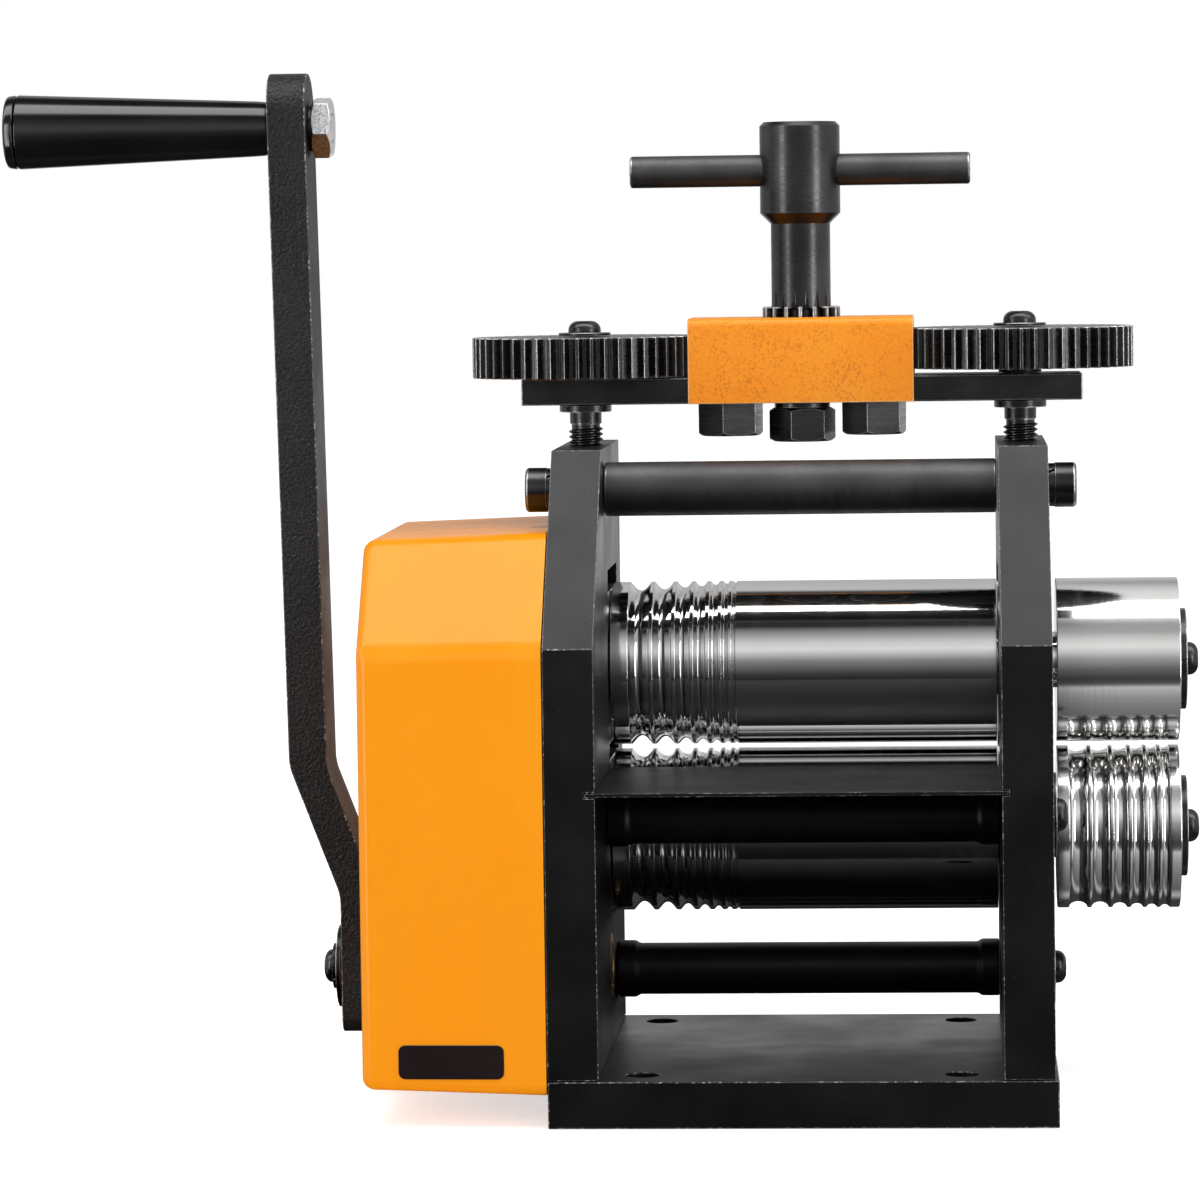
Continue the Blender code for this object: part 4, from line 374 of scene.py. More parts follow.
# Paler metal on the broken edges and tooth tips of black oxide pieces: partly worn oxide, partly a painted highlight.
OXIDE_WEAR_AND_EDGE_HIGHLIGHT = Metal(
    "oxide_wear_and_edge_highlight", (0.22, 0.22, 0.22), (0.42, 0.41, 0.40), (0.25, 0.45), (400.0, 400.0, 400.0), 0.00001, 350.0,
)
POLISHED_STEEL = Metal(
    "polished_steel", (0.80, 0.80, 0.80), (0.76, 0.755, 0.75), (0.055, 0.10), (420.0, 12.0, 12.0), 0.0000006, 30.0,
)
# Paler, smoother metal on the broken edges of polished, turned, gear and zinc-plated pieces: a painted highlight.
METAL_EDGE_HIGHLIGHT = Metal(
    "metal_edge_highlight", (0.85, 0.85, 0.85), (0.7, 0.7, 0.7), (0.12, 0.2), (300.0, 40.0, 40.0), 0.000001,
)
GEAR_STEEL = Metal(
    "gear_steel", (0.30, 0.29, 0.285), (0.20, 0.195, 0.19), (0.26, 0.36), (260.0, 60.0, 60.0), 0.000004,
)
BRONZE = Metal(
    "bronze", (0.62, 0.36, 0.13), (0.46, 0.25, 0.09), (0.28, 0.42), (240.0, 50.0, 50.0), 0.000003,
)
SPRING_STEEL = Metal(
    "spring_steel", (0.26, 0.26, 0.27), (0.36, 0.36, 0.37), (0.28, 0.4), (200.0, 200.0, 200.0), 0.000003,
)
ZINC = Metal(
    "zinc_plate", (0.62, 0.62, 0.64), (0.95, 0.95, 0.97), (0.22, 0.42), (1600.0, 1600.0, 1600.0), 0.00006, 1500.0,
)
ORANGE_PLASTIC = Moulding(
    "orange_plastic", (1.0, 0.325, 0.001), (1.0, 0.345, 0.002), (0.24, 0.30), 0.000004, 0.2,
)
BLACK_PLASTIC = Moulding(
    "black_plastic", (0.0045, 0.0045, 0.0050), (0.0070, 0.0070, 0.0075), (0.12, 0.18), 0.000002,
)
SATIN_OXIDE = Metal(
    "satin_oxide", (0.058, 0.058, 0.060), (0.085, 0.084, 0.085), (0.44, 0.58), (500.0, 90.0, 90.0), 0.00001,
)
SATIN_STEEL = Metal(
    "satin_steel", (0.80, 0.795, 0.79), (0.74, 0.73, 0.72), (0.08, 0.14), (900.0, 8.0, 8.0), 0.000003, 40.0,
)
BARE_PLATE = Moulding(
    "bare_plate", (0.0120, 0.0040, 0.0050), (0.0150, 0.0055, 0.0065), (0.30, 0.38), 0.000004,
)


@dataclass(frozen=True)
class Dress:
    """A piece's finish, the finish of its broken edges, and a slot name that nothing reads."""

    face: Finish
    edge: Finish
    slot: str


PAINTED = Dress(BLACK_PAINT, CHIPS_AND_EDGE_HIGHLIGHT, "black_paint")
POWDERED = Dress(BLACK_POWDER, CHIPS_AND_EDGE_HIGHLIGHT, "black_textured_paint")
RODDED = Dress(BLACK_PAINT, BLACK_PAINT, "black_paint")
OXIDISED = Dress(BLACK_OXIDE, OXIDE_WEAR_AND_EDGE_HIGHLIGHT, "black_oxide")
BARRED = Dress(SATIN_OXIDE, OXIDE_WEAR_AND_EDGE_HIGHLIGHT, "black_oxide")
TURNED = Dress(SATIN_STEEL, METAL_EDGE_HIGHLIGHT, "polished_steel")
POLISHED = Dress(POLISHED_STEEL, METAL_EDGE_HIGHLIGHT, "polished_steel")
GEARED = Dress(GEAR_STEEL, METAL_EDGE_HIGHLIGHT, "gear_steel")
BRONZED = Dress(BRONZE, BRONZE, "bronze")
SPRUNG = Dress(SPRING_STEEL, SPRING_STEEL, "spring_steel")
ZINCED = Dress(ZINC, METAL_EDGE_HIGHLIGHT, "zinc_plate")
COVERED = Dress(ORANGE_PLASTIC, ORANGE_PLASTIC, "orange_plastic")
GUARDED = Dress(ORANGE_PAINT, ORANGE_EDGE_HIGHLIGHT, "orange_paint")
GRIPPED = Dress(BLACK_PLASTIC, BLACK_PLASTIC, "black_plastic")
PLATED = Dress(BARE_PLATE, BARE_PLATE, "black_plastic")

MATERIALS: dict[str, bpy.types.Material] = {}


def material_of(finish: Finish) -> bpy.types.Material:
    """The one material of a finish, made when it is first asked for."""
    if finish.name not in MATERIALS:
        MATERIALS[finish.name] = finish.material()
    return MATERIALS[finish.name]


class Form:
    """A piece in the making, shaped by mesh operators."""

    def __init__(self) -> None:
        """Start with nothing."""
        self.bm = bmesh.new()

    @classmethod
    def box(cls, low: Place, high: Place) -> "Form":
        """A block between two corners."""
        form = cls()
        span = Vector(high) - Vector(low)
        middle = (Vector(high) + Vector(low)) / 2
        place = Matrix.Translation(middle) @ Matrix.Diagonal((*span, 1.0))
        bmesh.ops.create_cube(form.bm, size=1.0, matrix=place)
        return form

    @classmethod
    def turned(
        cls,
        profile: Sequence[Pair],
        axis: Axis = Axis.X,
        centre: Place = (0, 0, 0),
        steps: int = 64,
        ring: bool = False,
    ) -> "Form":
        """Spin a profile round an axis.

        Args:
            profile: Corners as (place along the axis, radius).
            axis: The axis it turns about.
            centre: A point that the axis goes through.
            steps: Faces round the piece.
            ring: Whether the profile closes on itself, as a washer's does.

        Returns:
            The turned form.
        """
        form = cls()
        middle = Vector(centre)
        corners = [form.bm.verts.new(middle + axis.turn @ Vector((r, 0, a))) for a, r in profile]
        edges = [form.bm.edges.new(pair) for pair in zip(corners, corners[1:])]
        if ring:
            edges.append(form.bm.edges.new((corners[-1], corners[0])))
        bmesh.ops.spin(
            form.bm,
            geom=corners + edges,
            cent=middle,
            axis=axis.turn @ Vector((0, 0, 1)),
            angle=FULL_TURN,
            steps=steps,
            use_merge=True,
        )
        return form.clean()

    @classmethod
    def rod(
        cls, start: float, end: float, radius: float, axis: Axis, centre: Place, steps: int = 48
    ) -> "Form":
        """A plain round bar between two places on an axis."""
        return cls.turned([(start, 0), (start, radius), (end, radius), (end, 0)], axis, centre, steps)

    @classmethod
    def ring(
        cls, start: float, end: float, radii: Pair, axis: Axis, centre: Place, steps: int = 48
    ) -> "Form":
        """A washer or bush between two places on an axis, with its inner and outer radius."""
        inner, outer = radii
        profile = [(start, inner), (start, outer), (end, outer), (end, inner)]
        return cls.turned(profile, axis, centre, steps, ring=True)

    @classmethod
    def prism(cls, outline: Sequence[Pair], start: float, length: float, axis: Axis) -> "Form":
        """Extrude a flat outline along an axis.

        Args:
            outline: Corners, read as (Y, Z) on X, (Z, X) on Y and (X, Y) on Z.
            start: Where the extrusion starts.
            length: How far it goes.
            axis: The way it goes.

        Returns:
            The extruded form.
        """
        form = cls()
        corners = [form.bm.verts.new(axis.turn @ Vector((a, b, start))) for a, b in outline]
        face = form.bm.faces.new(corners)
        form.raise_faces([face], axis.turn @ Vector((0, 0, length)))
        return form.clean()

    @classmethod
    def many_sided(
        cls, sides: int, flats: float, span: Pair, axis: Axis, centre: Place, turn: float = 0.0
    ) -> "Form":
        """A regular prism of a given width across its flats.

        Args:
            sides: Faces round it.
            flats: Width across the flats.
            span: Start and end along the axis.
            axis: The axis it stands on.
            centre: A point that the axis goes through.
            turn: How far it is turned on the axis.

        Returns:
            The prism.
        """
        form = cls()
        start, end = span
        radius = flats / 2 / math.cos(math.pi / sides)
        stand = Matrix.Translation(Vector((0, 0, (start + end) / 2))) @ Matrix.Rotation(turn, 4, "Z")
        place = Matrix.Translation(centre) @ axis.turn.to_4x4() @ stand
        bmesh.ops.create_cone(
            form.bm,
            cap_ends=True,
            segments=sides,
            radius1=radius,
            radius2=radius,
            depth=abs(end - start),
            matrix=place,
        )
        return form.clean()

    @classmethod
    def copied(cls, node: str) -> "Form":
        """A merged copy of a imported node's mesh."""
        form = cls()
        form.bm.from_mesh(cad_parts[node].data)
        bmesh.ops.remove_doubles(form.bm, verts=form.bm.verts, dist=MERGE_DISTANCE)
        bmesh.ops.dissolve_limit(
            form.bm, angle_limit=math.radians(1), verts=form.bm.verts, edges=form.bm.edges
        )
        return form.clean()

    @classmethod
    def coil(
        cls, section: Sequence[Pair], turns: float, pitch: float, start: Place, steps: int = 40
    ) -> "Form":
        """Sweep a closed section up a helix round Z.

        Args:
            section: Corners as (radius, height above the start).
            turns: Number of turns.
            pitch: Rise of one turn.
            start: The foot of the helix on its axis.
            steps: Faces in one turn.

        Returns:
            The coil, with its ends closed.
        """
        form = cls()
        foot = Vector(start)
        corners = [form.bm.verts.new(foot + Vector((r, 0, z))) for r, z in section]
        edges = [form.bm.edges.new(pair) for pair in zip(corners, corners[1:] + corners[:1])]
        bmesh.ops.spin(
            form.bm,
            geom=corners + edges,
            cent=foot,
            axis=(0, 0, 1),
            dvec=(0, 0, pitch / steps),
            angle=FULL_TURN * turns,
            steps=round(turns * steps),
        )
        rims = [edge for edge in form.bm.edges if edge.is_boundary]
        bmesh.ops.holes_fill(form.bm, edges=rims)
        return form.clean()

    def clean(self) -> "Form":
        """Merge doubles, turn the faces outwards and return the form."""
        bmesh.ops.remove_doubles(self.bm, verts=self.bm.verts, dist=MERGE_DISTANCE / 10)
        bmesh.ops.recalc_face_normals(self.bm, faces=self.bm.faces)
        return self

    def raise_faces(self, faces: list, way: Vector) -> list:
        """Extrude faces and move the new ones.

        Args:
            faces: The faces that are raised.
            way: How far and which way they go.

        Returns:
            The raised corners.
        """
        raised = bmesh.ops.extrude_face_region(self.bm, geom=faces, use_keep_orig=True)
        moved = [item for item in raised["geom"] if isinstance(item, bmesh.types.BMVert)]
        bmesh.ops.translate(self.bm, verts=moved, vec=way)
        return moved

    def gather(self, *others: "Form") -> "Form":
        """Take the faces of other forms in beside this one's and return it."""
        for other in others:
            spare = bpy.data.meshes.new("spare")
            other.bm.to_mesh(spare)
            other.bm.free()
            self.bm.from_mesh(spare)
            bpy.data.meshes.remove(spare)
        return self

    def combine(self, others: Sequence["Form"], operation: str) -> "Form":
        """Work other forms into this one with a Boolean.

        Args:
            others: The forms that cut, join or limit it.
            operation: DIFFERENCE, UNION or INTERSECT.

        Returns:
            The form itself.
        """
        tool = Form().gather(*others)
        pieces = []
        for number, form in enumerate((self, tool)):
            mesh = bpy.data.meshes.new(f"work_{number}")
            form.bm.to_mesh(mesh)
            form.bm.free()
            piece = bpy.data.objects.new(mesh.name, mesh)
            bpy.context.scene.collection.objects.link(piece)
            pieces.append(piece)
        body, cutter = pieces
        step = body.modifiers.new("work", "BOOLEAN")
        step.operation = operation
        step.solver = "EXACT"
        step.object = cutter
        bpy.context.view_layer.update()
        worked = bpy.data.meshes.new_from_object(
            body.evaluated_get(bpy.context.evaluated_depsgraph_get())
        )
        self.bm = bmesh.new()
        self.bm.from_mesh(worked)
        bpy.data.meshes.remove(worked)
        for piece in pieces:
            bpy.data.meshes.remove(piece.data)
        return self.clean()

    def cut(self, *others: "Form") -> "Form":
        """Take other forms away and return the form."""
        return self.combine(others, "DIFFERENCE")

    def limited(self, *others: "Form") -> "Form":
        """Keep only what lies inside another form and return it."""
        return self.combine(others, "INTERSECT")

    def ring_of(self, count: int, axis: Axis, centre: Place) -> "Form":
        """Repeat the form evenly round an axis and return it."""
        bmesh.ops.spin(
            self.bm,
            geom=self.bm.verts[:] + self.bm.edges[:] + self.bm.faces[:],
            cent=centre,
            axis=axis.turn @ Vector((0, 0, 1)),
            angle=FULL_TURN * (count - 1) / count,
            steps=count - 1,
            use_duplicate=True,
        )
        return self

    def shifted(self, way: Place) -> "Form":
        """Move the form and return it."""
        bmesh.ops.translate(self.bm, verts=self.bm.verts, vec=way)
        return self

    def rotated(self, angle: float, axis: str, centre: Place = (0, 0, 0)) -> "Form":
        """Turn the form about a point and return it."""
        turn = Matrix.Rotation(angle, 3, axis)
        bmesh.ops.rotate(self.bm, cent=centre, matrix=turn, verts=self.bm.verts)
        return self

    def rounded(self, edges: list, radius: float, segments: int) -> list:
        """Round some edges.

        Args:
            edges: The edges that are rounded.
            radius: How far the rounding reaches.
            segments: Faces across it.

        Returns:
            The new faces.
        """
        made = bmesh.ops.bevel(
            self.bm,
            geom=edges,
            offset=radius,
            offset_type="OFFSET",
            affect="EDGES",
            segments=segments,
            profile=0.5,
            material=-1,
            clamp_overlap=True,
        )
        return made["faces"]

    def softened(self, width: float, segments: int = 2, least_angle: float = 30.0) -> "Form":
        """Break every sharp edge and mark the breaks for the edge finish.

        Args:
            width: How far each break reaches.
            segments: Faces across it.
            least_angle: The smallest corner that counts as sharp, in degrees.

        Returns:
            The form itself.
        """
        sharp = [
            edge
            for edge in self.bm.edges
            if len(edge.link_faces) == 2 and edge.calc_face_angle(0.0) > math.radians(least_angle)
        ]
        for face in self.rounded(sharp, width, segments):
            face.material_index = 1
        return self

    def made(self, name: str, dress: Dress) -> bpy.types.Object:
        """Turn the form into a shaded object at the origin.

        Args:
            name: The object's name.
            dress: Its finishes.

        Returns:
            The object.
        """
        mesh = bpy.data.meshes.new(name)
        self.clean().bm.to_mesh(mesh)
        self.bm.free()
        mesh.shade_smooth()
        mesh.set_sharp_from_angle(angle=SMOOTH_CORNER)
        mesh.materials.append(material_of(dress.face))
        mesh.materials.append(material_of(dress.edge))
        piece = bpy.data.objects.new(name, mesh)
        bpy.context.scene.collection.objects.link(piece)
        even = piece.modifiers.new("even_shading", "WEIGHTED_NORMAL")
        even.keep_sharp = True
        return piece


class Assembly:
    """Pieces that are made and dressed together."""

    def add(self, name: str, form: Form, dress: Dress, body: str, nodes: Sequence[str] = ()) -> None:
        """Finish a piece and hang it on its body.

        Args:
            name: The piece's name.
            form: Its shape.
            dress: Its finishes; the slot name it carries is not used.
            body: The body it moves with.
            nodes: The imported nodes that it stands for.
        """
        piece = form.made(name, dress)
        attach(piece, body)
        if nodes:
            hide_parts(*nodes)
        LOG.info("%s: %d faces on %s", name, len(piece.data.polygons), body)

    def dress_node(self, node: str, dress: Dress) -> None:
        """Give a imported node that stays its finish."""
        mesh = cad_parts[node].data
        mesh.materials.clear()
        mesh.materials.append(material_of(dress.face))
        LOG.info("%s: packed node kept", node)


@dataclass(frozen=True)
class Fastener:
    """Screw heads of one size, with their hexagon sockets."""

    head: float
    height: float
    socket: float
    rim_share: float = 0.22
    flat_share: float = 0.38
    floor_share: float = 0.42
    dome_steps: int = 7

    def button(self, seat: float, way: int, axis: Axis, centre: Place) -> Form:
        """A domed head with a hexagon socket.

        Args:
            seat: Where the head sits on its axis.
            way: 1 or -1, the way the dome points.
            axis: The screw's axis.
            centre: A point that the axis goes through.

        Returns:
            The head.
        """
        rim = self.height * self.rim_share
        profile = [(seat, 0), (seat, self.head / 2), (seat + way * rim, self.head / 2)]
        flat = self.flat_share
        for i in range(1, self.dome_steps):
            angle = QUARTER_TURN * i / self.dome_steps
            rise = rim + (self.height - rim) * math.sin(angle)
            profile.append((seat + way * rise, self.head / 2 * (flat + (1 - flat) * math.cos(angle))))
        profile += [(seat + way * self.height, self.head / 2 * flat), (seat + way * self.height, 0)]
        return Form.turned(profile, axis, centre, 40).cut(self.key(seat, way, axis, centre))

    def cap(self, seat: float, way: int, axis: Axis, centre: Place) -> Form:
        """A cylindrical head with a chamfered rim and a hexagon socket."""
        chamfer = self.height * 0.1
        top = seat + way * self.height
        radius = self.head / 2
        profile = [(seat, 0), (seat, radius), (top - way * chamfer, radius), (top, radius - chamfer), (top, 0)]
        return Form.turned(profile, axis, centre, 48).cut(self.key(seat, way, axis, centre))

    def key(self, seat: float, way: int, axis: Axis, centre: Place) -> Form:
        """The hexagon that cuts the socket."""
        floor = seat + way * self.height * self.floor_share
        mouth = seat + way * (self.height + CUT_OVERRUN)
        return Form.many_sided(HEX_SIDES, self.socket, (min(floor, mouth), max(floor, mouth)), axis, centre)


def hexagon(flats: float, span: Pair, axis: Axis, centre: Place, turn: float, chamfers: tuple[bool, bool]) -> Form:
    """A hexagon with its corners turned off at one or both ends.

    Args:
        flats: Width across the flats.
        span: Start and end along the axis.
        axis: The axis it stands on.
        centre: A point that the axis goes through.
        turn: How far it is turned on the axis.
        chamfers: Whether the start and the end are chamfered.

    Returns:
        The hexagon.
    """
    start, end = span
    corner = flats / math.sqrt(3) + CORNER_ROOM
    inner = flats / 2 * CHAMFER_START
    drop = (corner - inner) * CHAMFER_SLOPE
    profile = [(start, 0)]
    profile += [(start, inner), (start + drop, corner)] if chamfers[0] else [(start, corner)]
    profile += [(end - drop, corner), (end, inner)] if chamfers[1] else [(end, corner)]
    profile.append((end, 0))
    turned = Form.turned(profile, axis, centre, 72)
    return Form.many_sided(HEX_SIDES, flats, span, axis, centre, turn).limited(turned)


def lock_washer(span: Pair, radii: Pair, axis: Axis, centre: Place, cut_angle: float) -> Form:
    """A split spring washer.

    Args:
        span: Start and end along the axis.
        radii: Inner and outer radius.
        axis: The axis it stands on.
        centre: A point that the axis goes through.
        cut_angle: Where round the axis the split is.

    Returns:
        The washer.
    """
    start, end = span
    inner, outer = radii
    washer = Form.ring(start, end, (inner, outer), axis, (0, 0, 0), 56)
    middle = (start + end) / 2
    reach = abs(end - start) * 1.5
    slit = Form.box((inner * 0.5, -SLIT_HALF, -reach), (outer * 1.2, SLIT_HALF, reach))
    slit.rotated(SLIT_SLANT, "X").rotated(cut_angle, "Z").shifted((0, 0, middle))
    bmesh.ops.transform(slit.bm, matrix=axis.turn.to_4x4(), verts=slit.bm.verts)
    return washer.cut(slit).shifted(centre)


@dataclass(frozen=True)
class Bed(Assembly):
    """Base plate, side frames, ties and feed shelf."""

    left: float = -0.0695
    right: float = 0.0705
    bench_hole: float = 0.0093
    bench_span: Pair = (0.088, 0.101)
    foot_y: float = 0.043
    foot_recess: float = 0.0106
    recess_depth: float = 0.007
    window_y: Pair = (0.0042, 0.0458)
    window_z: Pair = (0.0509, 0.1492)
    shelf_z: float = 0.0919
    shelf_thickness: float = 0.001
    let_in: Pair = (0.0028, 0.0015)
    top_tie: Pair = (-0.006, 0.173)
    front_tie: Pair = (-0.00719, 0.0798)
    rear_tie: Pair = (0.030, 0.0315)
    slot_depth: float = 0.066
    tie_bar_radius: float = 0.00765
    rod_radii: Pair = (0.0075, 0.0083)
    collar_length: float = 0.005
    collar_cone: float = 0.0012
    lock_thickness: float = 0.0016
    lock_radii: Pair = (0.0033, 0.0061)
    washer_thickness: float = 0.0015
    washer_radii: Pair = (0.0033, 0.012)
    cap_screw: Fastener = Fastener(0.0126, 0.0062, 0.006)
    button_screw: Fastener = Fastener(0.0095, 0.0033, 0.004)
    foot_screw: Fastener = Fastener(0.010, 0.006, 0.005)

    def build(self) -> None:
        """Make every piece of the bed."""
        self.base()
        for side, label in SIDE_NAMES.items():
            self.side_frame(side, label)
        self.top_tie_bar()
        self.tie_rods()
        self.shelf()

    def base(self) -> None:
        """Base plate with its bench holes, and the screws in its recesses."""
        plate = Form.box((self.left, DATUM.front, 0), (self.right, DATUM.back, DATUM.base_top))
        holes = []
        for sx in SIDES:
            for sy in SIDES:
                bench = (sx * self.bench_span[0] / 2, sy * self.bench_span[1] / 2, 0)
                over = DATUM.base_top + CUT_OVERRUN
                holes.append(Form.rod(-CUT_OVERRUN, over, self.bench_hole / 2, Axis.Z, bench, 56))
                foot = (sx * DATUM.frame_x, sy * self.foot_y, 0)
                holes.append(Form.rod(-CUT_OVERRUN, self.recess_depth, self.foot_recess / 2, Axis.Z, foot, 40))
        plate.cut(*holes).softened(0.00035)
        self.add("base_plate_dressed", plate, PAINTED, "frame", ["base_plate"])
        for number, (sx, sy) in enumerate((sx, sy) for sx in SIDES for sy in SIDES):
            foot = (sx * DATUM.frame_x, sy * self.foot_y, 0)
            head = self.foot_screw.cap(self.recess_depth - SEAT_GAP, -1, Axis.Z, foot).softened(0.0002)
            self.add(f"foot_screw_{number}", head, OXIDISED, "frame")

    def side_frame(self, side: int, label: str) -> None:
        """One side frame with its window, shelf slot and screw bore."""
        start = side * DATUM.frame_x - (DATUM.frame_outer - DATUM.frame_inner) / 2
        foot = DATUM.base_top + SEAT_GAP
        outline = [
            (DATUM.front, foot),
            (DATUM.back, foot),
            (DATUM.back, DATUM.frame_top),
            (DATUM.slope_top_y, DATUM.frame_top),
            (DATUM.front, DATUM.shoulder),
        ]
        plate = Form.prism(outline, start, DATUM.frame_outer - DATUM.frame_inner, Axis.X)
        reach = DATUM.frame_outer + CUT_OVERRUN
        near = DATUM.frame_inner - CUT_OVERRUN
        xs = sorted((side * near, side * reach))
        window = Form.box(
            (xs[0], self.window_y[0], self.window_z[0]), (xs[1], self.window_y[1], self.window_z[1])
        )
        bore_at = (side * DATUM.frame_x, DATUM.roll_y, 0)
        bore_span = (self.window_z[1] - CUT_OVERRUN, DATUM.frame_top + CUT_OVERRUN)
        bore = Form.rod(*bore_span, DATUM.screw_bore, Axis.Z, bore_at)
        depth = (self.let_in[0] if side < 0 else self.let_in[1]) + SEAT_GAP
        slot_xs = sorted((side * near, side * (DATUM.frame_inner + depth)))
        half = self.shelf_thickness / 2 + SEAT_GAP
        slot = Form.box(
            (slot_xs[0], DATUM.front - CUT_OVERRUN, self.shelf_z - half),
            (slot_xs[1], DATUM.front + self.slot_depth, self.shelf_z + half),
        )
        cutters = [window, slot]
        if side < 0:
            cutters.append(Form.rod(-reach, -near, DATUM.bush_hole, Axis.X, DATUM.crank_axis))
        plate.cut(*cutters).cut(bore).softened(0.00022)
        self.add(f"{label}_frame_dressed", plate, PAINTED, "frame", [f"{label}_side_frame"])

    def top_tie_bar(self) -> None:
        """Top tie bar with its cap screws and spring washers."""
        end = DATUM.frame_inner - SEAT_GAP
        centre = (0, *self.top_tie)
        bar = Form.rod(-end, end, self.tie_bar_radius, Axis.X, centre, 64).softened(0.0007, 2)
        self.add("top_tie_bar_turned", bar, BARRED, "frame", ["top_tie_bar"])
        seat = DATUM.frame_outer + SEAT_GAP
        for side, label in SIDE_NAMES.items():
            under_head = side * (seat + self.lock_thickness)
            span = tuple(sorted((side * seat, under_head)))
            washer = lock_washer(span, self.lock_radii, Axis.X, centre, 2.4)
            head = self.cap_screw.cap(under_head, side, Axis.X, centre)
            washer.softened(0.0001, 1).gather(head.softened(0.0003, 3))
            self.add(f"top_tie_screw_{label}_turned", washer, OXIDISED, "frame", [f"top_tie_screw_{label}"])

    def tie_rods(self) -> None:
        """Both tie rods with their collars, and the washers and screws on the right frame."""
        end = DATUM.frame_inner - SEAT_GAP
        shoulder = end - self.collar_length
        body, collar = self.rod_radii
        profile = [
            (-end, 0), (-end, collar), (-shoulder, collar), (-shoulder + self.collar_cone, body),
            (shoulder - self.collar_cone, body), (shoulder, collar), (end, collar), (end, 0),
        ]
        seat = DATUM.frame_outer + SEAT_GAP
        under_head = seat + self.washer_thickness
        for label, place in (("front", self.front_tie), ("rear", self.rear_tie)):
            centre = (0, *place)
            rod = Form.turned(profile, Axis.X, centre, 64).softened(0.0005, 3, 25.0)
            self.add(f"{label}_tie_rod_turned", rod, RODDED, "frame", [f"{label}_tie_rod"])
            washer = Form.ring(seat, under_head, self.washer_radii, Axis.X, centre, 72).softened(0.00025)
            head = self.button_screw.button(under_head, 1, Axis.X, centre).softened(0.0001, 1)
            washer.gather(head)
            self.add(f"{label}_tie_screw_turned", washer, OXIDISED, "frame", [f"{label}_tie_screw"])

    def shelf(self) -> None:
        """Feed shelf, let into both frames."""
        left, right = -DATUM.frame_inner - self.let_in[0], DATUM.frame_inner + self.let_in[1]
        inner = DATUM.frame_inner - SEAT_GAP
        tab_back = DATUM.front + self.slot_depth - SEAT_GAP
        low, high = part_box("feed_shelf")
        outline = [
            (left, low.y), (right, low.y), (right, tab_back), (inner, tab_back),
            (inner, high.y), (-inner, high.y), (-inner, tab_back), (left, tab_back),
        ]
        sheet = Form.prism(outline, low.z, high.z - low.z, Axis.Z).softened(0.00012)
        self.add("feed_shelf_cut", sheet, PAINTED, "frame", ["feed_shelf"])


@dataclass(frozen=True)
class Bearings(Assembly):
    """Bearing blocks, bushes and lift springs."""

    block: Pair = (0.041, 0.0436)
    bush_radius: float = 0.014
    bore: float = 0.0103
    pocket: Pair = (0.0045, 0.005)
    spring_radius: float = 0.0028
    wire_radius: float = 0.0006
    spring_z: Pair = (0.0907, 0.1035)
    spring_turns: int = 4

    def build(self) -> None:
        """Make the blocks, bushes and springs."""
        for level, z, body in (("lower", DATUM.lower_z, "frame"), ("upper", DATUM.upper_z, "upper_carriage")):
            for side, label in SIDE_NAMES.items():
                self.block_and_bush(level, label, side, z, body)
        for side, label in SIDE_NAMES.items():
            self.spring(label, side)

    def block_and_bush(self, level: str, label: str, side: int, z: float, body: str) -> None:
        """One bearing block and the bush in it."""
        half_y, half_z = self.block[0] / 2, self.block[1] / 2
        xs = sorted((side * DATUM.frame_inner, side * DATUM.frame_outer))
        block = Form.box((xs[0], DATUM.roll_y - half_y, z - half_z), (xs[1], DATUM.roll_y + half_y, z + half_z))
        centre = (0, DATUM.roll_y, z)
        bore = Form.rod(xs[0] - CUT_OVERRUN, xs[1] + CUT_OVERRUN, self.bush_radius + SEAT_GAP, Axis.X, centre, 64)
        up = 1 if level == "lower" else -1
        mouth = z + up * (half_z + CUT_OVERRUN)
        floor = z + up * (half_z - self.pocket[1])
        at = (side * DATUM.frame_x, DATUM.roll_y, 0)
        pocket = Form.rod(min(mouth, floor), max(mouth, floor), self.pocket[0], Axis.Z, at, 40)
        block.cut(bore, pocket).softened(0.0005)
        self.add(f"{level}_block_{label}", block, GEARED, body, [f"{level}_bearing_block_{label}"])
        bush = Form.ring(xs[0], xs[1], (self.bore, self.bush_radius), Axis.X, centre, 64).softened(0.0003)
        self.add(f"{level}_bush_{label}_turned", bush, BRONZED, body, [f"{level}_bush_{label}"])

    def spring(self, label: str, side: int) -> None:
        """One lift spring, wound from round wire."""
        section = [
            (
                self.spring_radius + self.wire_radius * math.cos(FULL_TURN * i / 10),
                self.wire_radius * math.sin(FULL_TURN * i / 10),
            )
            for i in range(10)
        ]
        low, high = self.spring_z
        start = (side * DATUM.frame_x, DATUM.roll_y, low)
        coil = Form.coil(section, self.spring_turns, (high - low) / self.spring_turns, start)
        piece = coil.made(f"{label}_spring_wound", SPRUNG)
        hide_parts(f"{label}_lift_spring")
        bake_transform(piece)
        LOG.info("%s: stretches between the blocks", piece.name)


